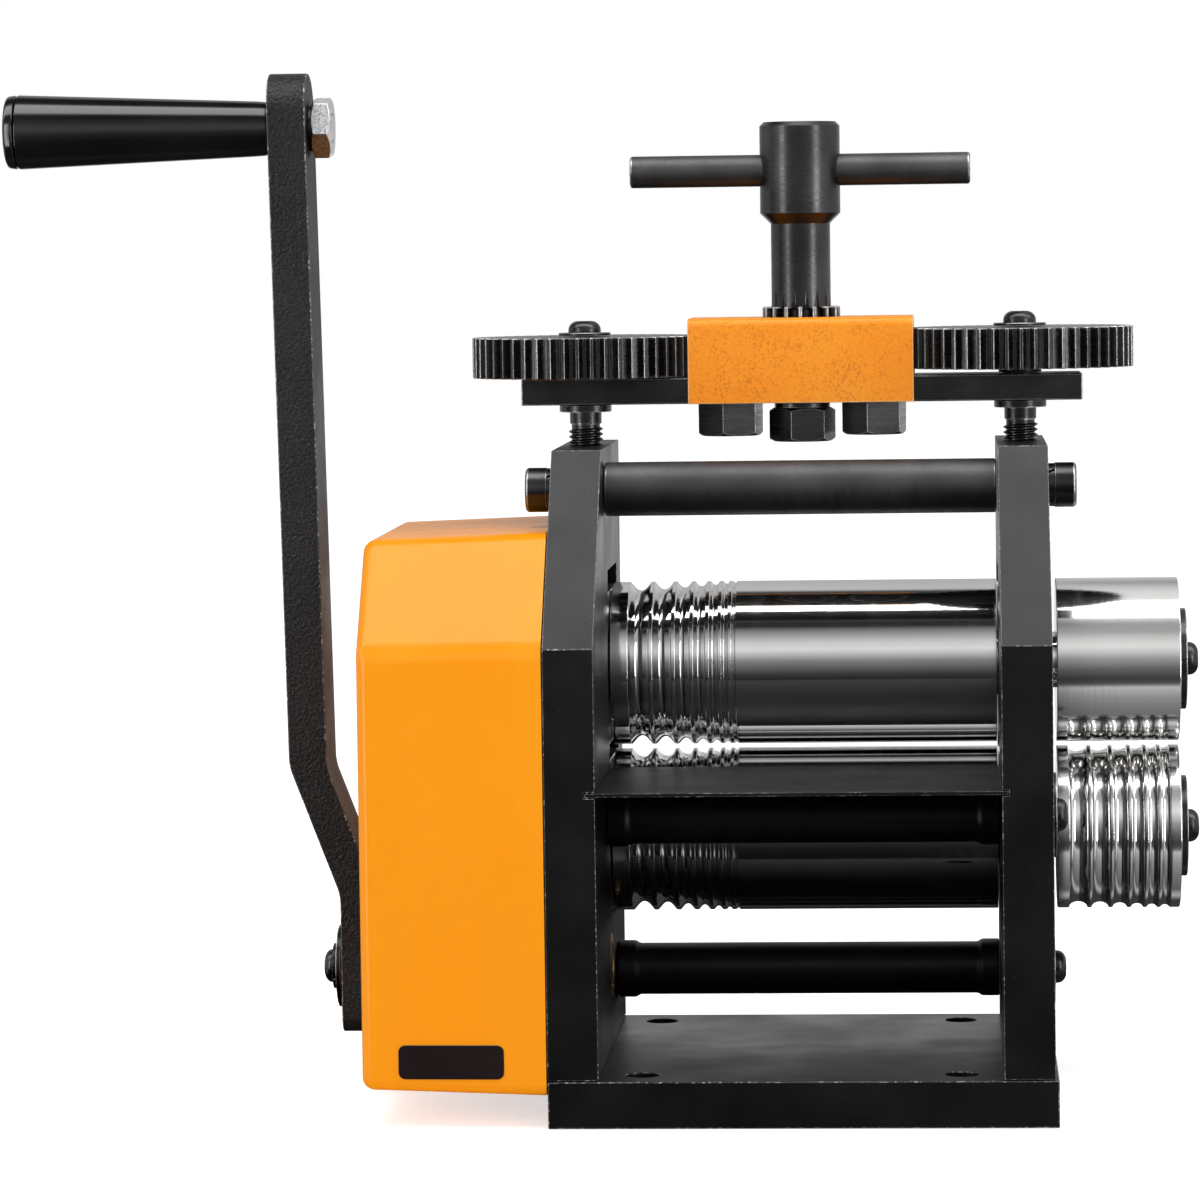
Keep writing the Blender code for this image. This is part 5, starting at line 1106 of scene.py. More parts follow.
@dataclass(frozen=True)
class Rolls(Assembly):
    """Main rolls with their wire grooves, and the side rolls on the right."""

    face_x: float = 0.055
    neck_ends: Pair = (-0.0764, 0.0698)
    neck: float = 0.010
    spigot: float = 0.008
    wire_land: Pair = (0.0049, 0.00105)
    wire_largest: float = 0.0060
    wire_shares: tuple[float, ...] = (1.0, 0.9, 0.7, 0.57, 0.42, 0.3, 0.19)
    wire_depth: float = 0.42
    side_x: Pair = (0.072, 0.1069619)
    side_land: Pair = (0.0033, 0.00115)
    side_largest: float = 0.0053
    side_shares: tuple[float, ...] = (1.0, 0.925, 0.775, 0.642, 0.528, 0.453)
    side_depth: float = 0.34
    side_bore: float = 0.0083
    groove_steps: int = 8
    washer_thickness: float = 0.002
    washer_radii: Pair = (0.0033, 0.0145)
    drive_ends: Pair = (-0.1027, -0.091)
    screw: Fastener = Fastener(0.0095, 0.0033, 0.004)

    def build(self) -> None:
        """Make both rolls and both side rolls."""
        for level, z, end in (
            ("lower", DATUM.lower_z, self.drive_ends[0]),
            ("upper", DATUM.upper_z, self.drive_ends[1]),
        ):
            self.main_roll(level, z, end)
            self.side_roll(level, z)

    def wire_grooves(self) -> list[Pair]:
        """Rounded square-wire grooves from the left end, largest first."""
        across = ((0.0, 0.0), (0.13, 0.36), (0.26, 0.72), (0.38, 0.93), (0.5, 1.0))
        across += tuple((1 - t, d) for t, d in reversed(across[:-1]))
        points = []
        place = -self.face_x + self.wire_land[0]
        for share in self.wire_shares:
            width = self.wire_largest * share
            points += [(place + width * t, DATUM.roll_radius - width * self.wire_depth * d) for t, d in across]
            place += width + self.wire_land[1]
        return points

    def main_roll(self, level: str, z: float, end: float) -> None:
        """One main roll with its necks and spigots."""
        radius = DATUM.roll_radius
        far = self.side_x[1] - SEAT_GAP
        profile = [
            (end, 0), (end, self.spigot), (self.neck_ends[0], self.spigot), (self.neck_ends[0], self.neck),
            (-self.face_x, self.neck), (-self.face_x, radius), *self.wire_grooves(),
            (self.face_x, radius), (self.face_x, self.neck), (self.neck_ends[1], self.neck),
            (self.neck_ends[1], self.spigot), (far, self.spigot), (far, 0),
        ]
        roll = Form.turned(profile, Axis.X, (0, DATUM.roll_y, z), 128).softened(0.00022, 2, 24.0)
        self.add(f"{level}_roll_turned", roll, POLISHED, f"{level}_roll", [f"{level}_roll"])

    def side_roll(self, level: str, z: float) -> None:
        """One side roll with its washer and screw."""
        centre = (0, DATUM.roll_y, z)
        radius = DATUM.roll_radius
        start, end = self.side_x
        profile = [(start, self.side_bore), (start, radius)]
        if level == "lower":
            place = start + self.side_land[0]
            for share in self.side_shares:
                width = self.side_largest * share
                for i in range(self.groove_steps + 1):
                    t = (1 - math.cos(math.pi * i / self.groove_steps)) / 2
                    sag = math.sqrt(max(0.0, 1 - (2 * t - 1) ** 2))
                    profile.append((place + width * t, radius - width * self.side_depth * sag))
                place += width + self.side_land[1]
        profile += [(end, radius), (end, self.side_bore)]
        roll = Form.turned(profile, Axis.X, centre, 128, ring=True).softened(0.0003, 2, 35.0)
        self.add(f"{level}_side_roll_turned", roll, TURNED, f"{level}_roll", [f"{level}_side_roll"])
        seat = end + SEAT_GAP
        under_head = seat + self.washer_thickness
        washer = Form.ring(seat, under_head, self.washer_radii, Axis.X, centre, 72).softened(0.0003)
        self.add(f"{level}_side_washer", washer, OXIDISED, f"{level}_roll", [f"{level}_side_roll_washer"])
        head = self.screw.button(under_head + SEAT_GAP, 1, Axis.X, centre).softened(0.0001, 1)
        self.add(f"{level}_side_screw", head, OXIDISED, f"{level}_roll", [f"{level}_side_roll_screw"])


@dataclass(frozen=True)
class Gearbox(Assembly):
    """Roll gears, crank shaft and the moulded cover over them."""

    open_x: float = -0.0698
    face_x: float = -0.1210
    top: float = 0.1625
    bottom: float = 0.0089
    wall: float = 0.0022
    draft: float = 0.0016
    edge_radius: float = 0.0034
    boss_places: tuple[Pair, ...] = ((-0.0523, 0.0205), (0.0523, 0.0205), (0.0523, 0.1518), (-0.0316, 0.1518))
    screw: Fastener = Fastener(0.0076, 0.0022, 0.0025)
    boss_radius: float = 0.005
    counterbore: Pair = (0.0041, 0.0034)
    cavity_radius: float = 0.0013
    screw_hole: float = 0.0023
    shaft_ends: Place = (-0.0558, -0.1212, -0.1317)
    shaft_radii: Pair = (0.006, 0.0054)
    bush_face_x: float = -0.1188
    bush_steps: Pair = (0.0025, 0.0047)
    bush_flange: float = 0.0112
    plate_size: Place = (0.0292, 0.0003, 0.0094)
    plate_place: Pair = (-0.0960, 0.0185)

    def build(self) -> None:
        """Make the cover and its screws, and dress the gears inside."""
        for node in ("lower_timing_gear", "upper_timing_gear", "roll_drive_gear", "crank_pinion"):
            self.dress_node(node, GEARED)
        self.dress_node("drive_gear_flange_screw", OXIDISED)
        self.shaft()
        self.cover()
        self.bare_plate()

    def outline(self, inset: float) -> list[Pair]:
        """The cover seen along the rolls, drawn in by a wall or a draft."""
        run = DATUM.slope_top_y - DATUM.front
        rise = DATUM.frame_top - DATUM.shoulder
        shift = inset * math.hypot(run, rise) / rise
        top = self.top - inset
        top_front = DATUM.front + shift + (top - DATUM.shoulder) * run / rise
        shoulder = DATUM.shoulder - (shift - inset) * rise / run
        front, back, bottom = DATUM.front + inset, DATUM.back - inset, self.bottom + inset
        return [(front, bottom), (back, bottom), (back, top), (top_front, top), (front, shoulder)]

    def shell(self, near: Sequence[Pair], far: Sequence[Pair], span: Pair, radius: float, segments: int) -> Form:
        """A drafted box between two outlines, rounded everywhere but at its mouth.

        Args:
            near: Outline at the mouth.
            far: Outline at the closed end.
            span: Where the mouth and the closed end are along X.
            radius: Rounding of the edges.
            segments: Faces across the rounding.

        Returns:
            The box.
        """
        form = Form()
        mouth = form.bm.faces.new([form.bm.verts.new((span[0], y, z)) for y, z in near])
        raised = form.raise_faces([mouth], Vector((span[1] - span[0], 0, 0)))
        for (y, z), (far_y, far_z) in zip(near, far):
            corner = min(raised, key=lambda v: (v.co.y - y) ** 2 + (v.co.z - z) ** 2)
            corner.co.y, corner.co.z = far_y, far_z
        form.clean()
        edges = [e for e in form.bm.edges if any(abs(v.co.x - span[0]) > MERGE_DISTANCE for v in e.verts)]
        form.rounded(edges, radius, segments)
        return form.clean()

    def cover(self) -> None:
        """Moulded gear cover and its four screws."""
        wall = self.wall
        span = (self.open_x, self.face_x)
        shell = self.shell(self.outline(0), self.outline(self.draft), span, self.edge_radius, 7)
        inside = (self.open_x + CUT_OVERRUN, self.face_x + wall)
        cavity = self.shell(self.outline(wall), self.outline(wall + self.draft), inside, self.cavity_radius, 2)
        through = (self.face_x - CUT_OVERRUN, self.face_x + wall + CUT_OVERRUN)
        bush_hole = Form.rod(*through, DATUM.bush_hole, Axis.X, DATUM.crank_axis)
        bosses, sinks = [], []
        for place in self.boss_places:
            centre = (0, *place)
            boss = (self.face_x + wall / 2, self.open_x - SEAT_GAP)
            bosses.append(Form.rod(*boss, self.boss_radius, Axis.X, centre, 40))
            floor = self.face_x + self.counterbore[1]
            sinks.append(Form.rod(self.face_x - CUT_OVERRUN, floor, self.counterbore[0], Axis.X, centre, 40))
            sinks.append(Form.rod(floor - CUT_OVERRUN, self.open_x + CUT_OVERRUN, self.screw_hole, Axis.X, centre, 32))
        shell.cut(cavity).combine(bosses, "UNION").cut(bush_hole, *sinks)
        rim = [
            e
            for e in shell.bm.edges
            if len(e.link_faces) == 2
            and e.calc_face_angle(0.0) > math.radians(40)
            and all(v.co.x < self.face_x + 0.0005 or v.co.x > self.open_x - 0.0005 for v in e.verts)
        ]
        shell.rounded(rim, 0.00025, 2)
        self.add("gear_cover_moulded", shell, COVERED, "frame", ["gear_cover"])
        for number, place in enumerate(self.boss_places):
            seat = self.face_x + self.counterbore[1] - SEAT_GAP
            head = self.screw.button(seat, -1, Axis.X, (0, *place)).softened(0.0001, 1)
            self.add(f"cover_screw_{number}", head, OXIDISED, "frame")

    def bare_plate(self) -> None:
        """The bare black plate low on the cover's front."""
        length, thickness, height = self.plate_size
        plate = Form.box((-length / 2, -thickness, -height / 2), (length / 2, thickness, height / 2))
        corners = [e for e in plate.bm.edges if abs(e.verts[0].co.y - e.verts[1].co.y) > thickness]
        plate.rounded(corners, 0.0019, 7)
        plate.clean().softened(0.00007, 1)
        lean = math.atan2(self.draft, self.open_x - self.face_x)
        x, z = self.plate_place
        y = DATUM.front + self.draft * (self.open_x - x) / (self.open_x - self.face_x)
        plate.rotated(-lean, "Z").shifted((x, y, z))
        self.add("bare_plate", plate, PLATED, "frame")

    def shaft(self) -> None:
        """Crank shaft and the two bushes that carry it."""
        at = DATUM.crank_axis
        inner, step, outer = self.shaft_ends
        thick, thin = self.shaft_radii
        profile = [(inner, 0), (inner, thick), (step, thick), (step, thin), (outer, thin), (outer, 0)]
        shaft = Form.turned(profile, Axis.X, at, 56).softened(0.0003)
        self.add("crank_shaft_turned", shaft, GEARED, "crank", ["crank_shaft"])
        wall = (-DATUM.frame_outer, -DATUM.frame_inner)
        bush = Form.ring(*wall, DATUM.bush_radii, Axis.X, at, 56).softened(0.0003)
        self.add("crank_frame_bush_turned", bush, BRONZED, "frame", ["crank_frame_bush"])
        face = self.bush_face_x
        start, end = (face + step for step in self.bush_steps)
        bore, body = DATUM.bush_radii
        flange = [
            (face, bore), (face, body), (start, body),
            (start, self.bush_flange), (end, self.bush_flange), (end, bore),
        ]
        bush = Form.turned(flange, Axis.X, at, 56, ring=True).softened(0.0002)
        self.add("crank_cover_bush_turned", bush, BRONZED, "frame", ["crank_cover_bush"])


@dataclass(frozen=True)
class Crank(Assembly):
    """Bent crank arm, its hub screw, and the turning grip on its bolt."""

    inner_x: float = -0.1215
    thickness: float = 0.0109
    width: float = 0.0235
    tail: float = -0.018
    head: float = 0.2555
    bend: Pair = (0.021, 0.058)
    jog: float = 0.0140
    lean: float = 0.0035
    bend_offset: float = 0.0007
    bend_radius: float = 0.0022
    head_radius: float = 0.0112
    tail_radius: float = 0.005
    hub_hole: float = 0.0057
    hub_radii: Pair = (0.0028, 0.01175)
    lock_radii: Pair = (0.0028, 0.0065)
    bolt_end: float = -0.2094
    bolt_head: Pair = (0.005, 0.0065)
    grip_x: Pair = (-0.1498, -0.2255)
    grip_radii: Pair = (0.0073, 0.0106)
    cap_length: float = 0.003
    grip_bore: float = 0.0046
    cap_socket: Pair = (0.010, 0.0071)
    cap_plug: Pair = (0.003, 0.0068)
    swell: Place = (1.5, 0.12, 0.016)
    nut_x: Pair = (-0.1386, -0.1322)
    nut_flats: float = 0.0157
    nut_bore: float = 0.00425
    nut_washer: Pair = (0.0042, 0.0066)
    nut_turn: float = math.radians(-18)
    screw: Fastener = Fastener(0.0095, 0.0027, 0.004)
    washers: Pair = (0.0014, 0.0013)

    def build(self) -> None:
        """Make the arm, its fasteners and the grip."""
        self.arm()
        self.hub_screw()
        self.grip_nut()
        self.grip()

    def arm(self) -> None:
        """The flat bar of the arm, bent outwards and rounded at both ends."""
        inner, outer = self.inner_x, self.inner_x - self.thickness
        jog, top = inner - self.jog, inner - self.jog - self.lean
        edge = self.bend_offset
        outline = [
            (self.tail, inner), (self.bend[0], inner), (self.bend[1], jog), (self.head, top),
            (self.head, top - self.thickness), (self.bend[1] + edge, jog - self.thickness),
            (self.bend[0] + edge, outer), (self.tail, outer),
        ]
        bar = Form.prism(outline, -self.width / 2, self.width, Axis.Y)
        for level, radius, segments in ((self.head, self.head_radius, 12), (self.tail, self.tail_radius, 5)):
            ends = [
                e
                for e in bar.bm.edges
                if all(abs(v.co.z - level) < SEAT_GAP for v in e.verts)
                and abs(e.verts[0].co.x - e.verts[1].co.x) > self.thickness / 2
            ]
            bar.rounded(ends, radius, segments)
        bends = [
            e
            for e in bar.bm.edges
            if abs(e.verts[0].co.y - e.verts[1].co.y) > self.width * 0.9
            and self.bend[0] - edge < e.verts[0].co.z < self.bend[1] + 2 * edge
        ]
        bar.rounded(bends, self.bend_radius, 3)
        bar.shifted(DATUM.crank_axis)
        hub = Form.rod(outer - CUT_OVERRUN, inner + CUT_OVERRUN, self.hub_hole, Axis.X, DATUM.crank_axis)
        through = (self.grip_x[0] - CUT_OVERRUN, self.grip_x[0] + 0.014)
        hole = Form.rod(*through, DATUM.idler_bore, Axis.X, DATUM.grip_axis)
        bar.cut(hub, hole).softened(0.00035, 2, 38.0)
        self.add("crank_arm_bent", bar, POWDERED, "crank", ["crank_arm"])

    def hub_screw(self) -> None:
        """Large washer, spring washer and button screw at the hub."""
        at = DATUM.crank_axis
        seat = self.inner_x - self.thickness - SEAT_GAP
        washer = Form.ring(seat - self.washers[0], seat, self.hub_radii, Axis.X, at, 72).softened(0.0002)
        self.add("crank_washer_turned", washer, OXIDISED, "crank", ["crank_washer"])
        lock = seat - self.washers[0] - SEAT_GAP
        end = lock - self.washers[1]
        split = lock_washer((end, lock), self.lock_radii, Axis.X, at, 3.6).softened(0.0001, 1)
        split.gather(self.screw.button(end, -1, Axis.X, at).softened(0.0001, 1))
        self.add("crank_screw_turned", split, OXIDISED, "crank", ["crank_screw"])

    def grip_nut(self) -> None:
        """Grip bolt, its spring washer and nut on the inner side of the arm."""
        at = DATUM.grip_axis
        washer_end = self.nut_x[0] + 0.0009
        radius = Thread.GRIP_BOLT.value[0] / 2
        bolt = Form.rod(self.bolt_end, self.nut_x[1] + 0.0001, radius, Axis.X, at, 40).softened(0.0006, 2)
        head_length, head_radius = self.bolt_head
        head = Form.rod(self.bolt_end - head_length, self.bolt_end, head_radius, Axis.X, at).softened(0.0003)
        self.add("grip_bolt_turned", bolt.gather(head), ZINCED, "crank", ["grip_bolt"])
        washer = lock_washer((self.nut_x[0], washer_end), self.nut_washer, Axis.X, at, 4.4).softened(0.00015, 1)
        nut = hexagon(self.nut_flats, (washer_end + 0.00005, self.nut_x[1]), Axis.X, at, self.nut_turn, (True, True))
        bore = Form.rod(washer_end - 0.001, self.nut_x[1] + 0.001, self.nut_bore, Axis.X, at)
        nut.cut(bore).softened(0.00035, 3)
        self.add("grip_nut_cut", nut, ZINCED, "crank", ["grip_nut"])
        self.add("grip_nut_washer", washer, OXIDISED, "crank")

    def grip(self) -> None:
        """Tapered grip and the cap on its end."""
        at = DATUM.grip_axis
        start, end = self.grip_x
        seam = end + self.cap_length + SEAT_GAP
        small, large = self.grip_radii
        bore, (depth, socket) = self.grip_bore, self.cap_socket
        crowding, early, run = self.swell
        profile = [(start - 0.012, bore), (start, bore)]
        count = 22
        for i in range(count + 1):
            t = (i / count) ** crowding
            share = early * (1 - math.exp(-t / run)) + (1 - early) * t
            profile.append((start + (seam - start) * t, small + (large - small) * share))
        profile += [(seam, socket), (seam + depth, socket), (seam + depth, bore)]
        body = Form.turned(profile, Axis.X, at, 96, ring=True).softened(0.00035, 3, 40.0)
        self.add("grip_body", body, GRIPPED, "grip", ["handle_grip"])
        cap_in = end + self.cap_length
        plug_end, plug = cap_in + self.cap_plug[0], self.cap_plug[1]
        profile = [
            (plug_end, 0), (plug_end, plug), (cap_in, plug), (cap_in, large), (end, large - 0.0004), (end, 0),
        ]
        cap = Form.turned(profile, Axis.X, at, 96).softened(0.0009, 5, 40.0)
        self.add("grip_cap", cap, GRIPPED, "grip", ["grip_end_cap"])


@dataclass(frozen=True)
class ScrewDown(Assembly):
    """Screw-down bar with its gear train, guard, pressure screws and idler bolts."""

    bar_x: float = 0.080
    bar_y: Pair = (0.011, 0.039)
    screw_x: float = 0.0625
    idler_x: float = 0.020625
    guard_x: float = 0.03215
    guard_y: Pair = (0.0143, 0.0161)
    guard_top: float = 0.2206
    guard_screw_x: float = 0.020
    guard_screw_z: float = 0.20005
    right_lift: float = 0.00135
    guard_bend: float = 0.0024
    guard_opening: float = 0.01185
    screw_z: tuple[float, ...] = (0.1433, 0.1906, 0.1940, 0.1960)
    screw_collar: float = 0.0046
    screw_flange: float = 0.0075
    right_spacer: float = 0.00615
    gear_seat: float = 0.0113
    root_share: float = 0.58
    ridge_shares: Pair = (0.47, 0.07)
    washer_thickness: float = 0.0008
    washer_radii: Pair = (0.003, 0.0075)
    shank: float = 0.004
    hex_flats: float = 0.0168
    hex_z: Pair = (0.1867, 0.1960)
    hex_turn: float = math.radians(-11)
    gear_screw: Fastener = Fastener(0.0094, 0.0034, 0.004)
    guard_screw: Fastener = Fastener(0.0058, 0.0018, 0.002)

    def build(self) -> None:
        """Make the bar and everything on it."""
        self.bar()
        self.guard()
        for side, label in SIDE_NAMES.items():
            self.pressure_screw(side, label)
            self.gears(side, label)
            self.idler_bolt(side, label)

    def bar(self) -> None:
        """The flat bar that carries the gears."""
        low, high = DATUM.bar_bottom, DATUM.bar_top
        bar = Form.box((-self.bar_x, self.bar_y[0], low), (self.bar_x, self.bar_y[1], high))
        span = (low - CUT_OVERRUN, high + CUT_OVERRUN)
        places = (-self.screw_x, 0, self.screw_x)
        holes = [Form.rod(*span, DATUM.screw_bore, Axis.Z, (x, DATUM.roll_y, 0)) for x in places]
        places = (side * self.idler_x for side in SIDES)
        holes += [Form.rod(*span, DATUM.idler_bore, Axis.Z, (x, DATUM.roll_y, 0)) for x in places]
        bar.cut(*holes).softened(0.0004)
        self.add("screw_down_bar_cut", bar, OXIDISED, "screw_down", ["screw_down_bar"])

    def guard(self) -> None:
        """Bent sheet guard over the pinion, and the screws at its back."""
        inner, outer = self.guard_y
        low, top = DATUM.bar_bottom, self.guard_top
        sheet = outer - inner
        y = DATUM.roll_y
        section = [
            (y - outer, low), (y - inner, low), (y - inner, top - sheet), (y + inner, top - sheet),
            (y + inner, low), (y + outer, low), (y + outer, top), (y - outer, top),
        ]
        form = Form.prism(section, -self.guard_x, 2 * self.guard_x, Axis.X)
        along = [e for e in form.bm.edges if abs(e.verts[0].co.x - e.verts[1].co.x) > self.guard_x]
        form.rounded([e for e in along if e.verts[0].co.z > top - MERGE_DISTANCE], self.guard_bend, 6)
        span = (top - sheet - CUT_OVERRUN, top + CUT_OVERRUN)
        opening = Form.rod(*span, self.guard_opening, Axis.Z, (0, y, 0), 72)
        form.clean().cut(opening).softened(0.0003, 2, 40.0)
        self.add("gear_guard_bent", form, GUARDED, "screw_down", ["gear_guard"])
        for side, label in SIDE_NAMES.items():
            at = (side * self.guard_screw_x, 0, self.guard_screw_z)
            head = self.guard_screw.button(y + outer + 0.00005, 1, Axis.Y, at).softened(0.00008, 1)
            self.add(f"guard_screw_{label}", head, OXIDISED, "screw_down")

    def pressure_screw(self, side: int, label: str) -> None:
        """One pressure screw with its thread, collar and flange."""
        at = (side * self.screw_x, DATUM.roll_y, 0)
        diameter, pitch = Thread.PRESSURE_SCREW.value
        crest, root = diameter / 2, diameter / 2 - pitch * self.root_share
        tip, collar, flange, top = self.screw_z
        gear_low = DATUM.gear_bottom + (self.right_lift if side > 0 else 0)
        profile = [
            (tip, 0), (tip, root), (collar, root), (collar, self.screw_collar), (flange, self.screw_collar),
            (flange, self.screw_flange), (top, self.screw_flange), (top, crest),
        ]
        if side > 0:
            profile += [
                (DATUM.gear_bottom, crest), (DATUM.gear_bottom, self.right_spacer),
                (gear_low - SEAT_GAP, self.right_spacer), (gear_low - SEAT_GAP, crest),
            ]
        profile += [(gear_low + self.gear_seat, crest), (gear_low + self.gear_seat, 0)]
        core = Form.turned(profile, Axis.Z, at, 64).softened(0.0003, 2, 40.0)
        foot = root - 0.0002
        wide, narrow = (pitch * share for share in self.ridge_shares)
        ridge = [(foot, -wide), (crest, -narrow), (crest, narrow), (foot, wide)]
        turns = math.floor((collar - tip) / pitch - 0.6)
        start = (at[0], at[1], tip + pitch / 2)
        core.gather(Form.coil(ridge, turns, pitch, start, 48))
        self.add(f"{label}_pressure_screw_threaded", core, OXIDISED, f"{label}_screw", [f"{label}_pressure_screw"])

    def gears(self, side: int, label: str) -> None:
        """One screw gear with its screw and washer, and one idler."""
        for kind in ("screw", "idler"):
            node = f"{label}_{kind}_gear"
            gear = Form.copied(node).softened(0.00018, 1, 24.0)
            self.add(f"{node}_cut", gear, OXIDISED, f"{label}_{kind}", [node])
        at = (side * self.screw_x, DATUM.roll_y, 0)
        low = DATUM.gear_top + (self.right_lift if side > 0 else 0) + SEAT_GAP
        under_head = low + self.washer_thickness
        washer = Form.ring(low, under_head, self.washer_radii, Axis.Z, at, 56).softened(0.00015, 1)
        washer.gather(self.gear_screw.button(under_head, 1, Axis.Z, at).softened(0.0001, 1))
        self.add(f"{label}_gear_screw_turned", washer, OXIDISED, f"{label}_screw", [f"{label}_gear_screw"])

    def idler_bolt(self, side: int, label: str) -> None:
        """One idler bolt, its hexagon under the bar."""
        at = (side * self.idler_x, DATUM.roll_y, 0)
        head = hexagon(self.hex_flats, self.hex_z, Axis.Z, at, self.hex_turn, (True, False)).softened(0.0003, 2)
        shank = Form.rod(self.hex_z[1] - 0.001, DATUM.gear_top, self.shank, Axis.Z, at, 40).softened(0.0003)
        self.add(f"{label}_idler_bolt_cut", head.gather(shank), OXIDISED, "screw_down", [f"{label}_idler_bolt"])


@dataclass(frozen=True)
class TeeSpindle(Assembly):
    """Tee spindle with its cut pinion, cross bar and the nut under the bar."""

    journal: float = 0.005
    shaft: float = 0.0085
    head: float = 0.0115
    head_z: Pair = (0.2503, 0.2764)
    taper: float = 0.003
    teeth: int = 16
    pinion_top: float = 0.2236
    run_out: float = 0.0042
    chamfer: float = 0.0012
    notch_radii: Pair = (0.0009, 0.00022)
    flank: tuple[Pair, ...] = (
        (0.0083, 0.109), (0.0094, 0.1062), (0.0100, 0.0913), (0.0106, 0.0651), (0.01115, 0.0360),
    )
    tee_z: float = 0.2626
    tee_radius: float = 0.00455
    tee_length: float = 0.0975
    nut_flats: float = 0.0168
    nut_z: Pair = (0.1849, 0.1946)
    washer_top: float = 0.1960
    washer_radius: float = 0.008
    nut_turn: float = math.radians(-18)

    def build(self) -> None:
        """Make the spindle, its bar and its nut."""
        self.spindle()
        self.tee_bar()
        self.nut()

    def spindle(self) -> None:
        """Turned spindle with cut teeth that run out up the shaft."""
        at = DATUM.spindle_axis
        low, high = self.head_z
        profile = [
            (self.nut_z[0] + SEAT_GAP, 0), (self.nut_z[0] + SEAT_GAP, self.journal), (DATUM.gear_bottom, self.journal),
            (DATUM.gear_bottom, self.shaft), (low - self.taper, self.shaft), (low, self.head),
            (high - self.chamfer, self.head), (high, self.head - self.chamfer), (high, 0),
        ]
        form = Form.turned(profile, Axis.Z, at, 96)
        reach = self.head + CUT_OVERRUN
        hole = Form.rod(-reach, reach, self.tee_radius + SEAT_GAP, Axis.X, (0, DATUM.roll_y, self.tee_z))
        pitch = FULL_TURN / self.teeth
        start, end = self.pinion_top - 0.001, self.pinion_top + self.run_out
        wide, narrow = self.notch_radii
        cone = [(start, 0), (start, wide), (end, narrow), (end, 0)]
        notch = Form.turned(cone, Axis.Z, (self.shaft + 0.0001, DATUM.roll_y, 0), 12)
        notch.rotated(pitch / 2, "Z", at).ring_of(self.teeth, Axis.Z, at)
        form.cut(notch).cut(hole).softened(0.0002, 2, 25.0)
        form.gather(self.pinion())
        self.add("tee_spindle_turned", form, OXIDISED, "spindle", ["tee_spindle"])

    def pinion(self) -> Form:
        """The pinion's teeth, standing on the shaft."""
        at = DATUM.spindle_axis
        right = [(r * math.cos(a), r * math.sin(-a)) for r, a in self.flank]
        left = [(x, -y) for x, y in reversed(right)]
        outline = [(x, y + DATUM.roll_y) for x, y in right + left]
        low = DATUM.gear_bottom + SEAT_GAP
        tooth = Form.prism(outline, low, self.pinion_top - low, Axis.Z).softened(0.0004, 3, 35.0)
        return tooth.ring_of(self.teeth, Axis.Z, at)

    def tee_bar(self) -> None:
        """Cross bar with rounded ends."""
        half = self.tee_length / 2
        bar = Form.rod(-half, half, self.tee_radius, Axis.X, (0, DATUM.roll_y, self.tee_z), 56).softened(0.0007, 3)
        self.add("tee_bar_turned", bar, BARRED, "spindle", ["tee_bar"])

    def nut(self) -> None:
        """Hexagon nut and the washer over it."""
        at = DATUM.spindle_axis
        nut = hexagon(self.nut_flats, self.nut_z, Axis.Z, at, self.nut_turn, (True, True))
        bore = DATUM.screw_bore
        nut.cut(Form.rod(self.nut_z[0] - 0.001, self.nut_z[1] + 0.001, bore, Axis.Z, at)).softened(0.0003, 2)
        washer = Form.ring(self.nut_z[1], self.washer_top, (bore, self.washer_radius), Axis.Z, at, 56).softened(0.0002)
        self.add("spindle_nut_cut", nut.gather(washer), OXIDISED, "spindle", ["spindle_nut"])


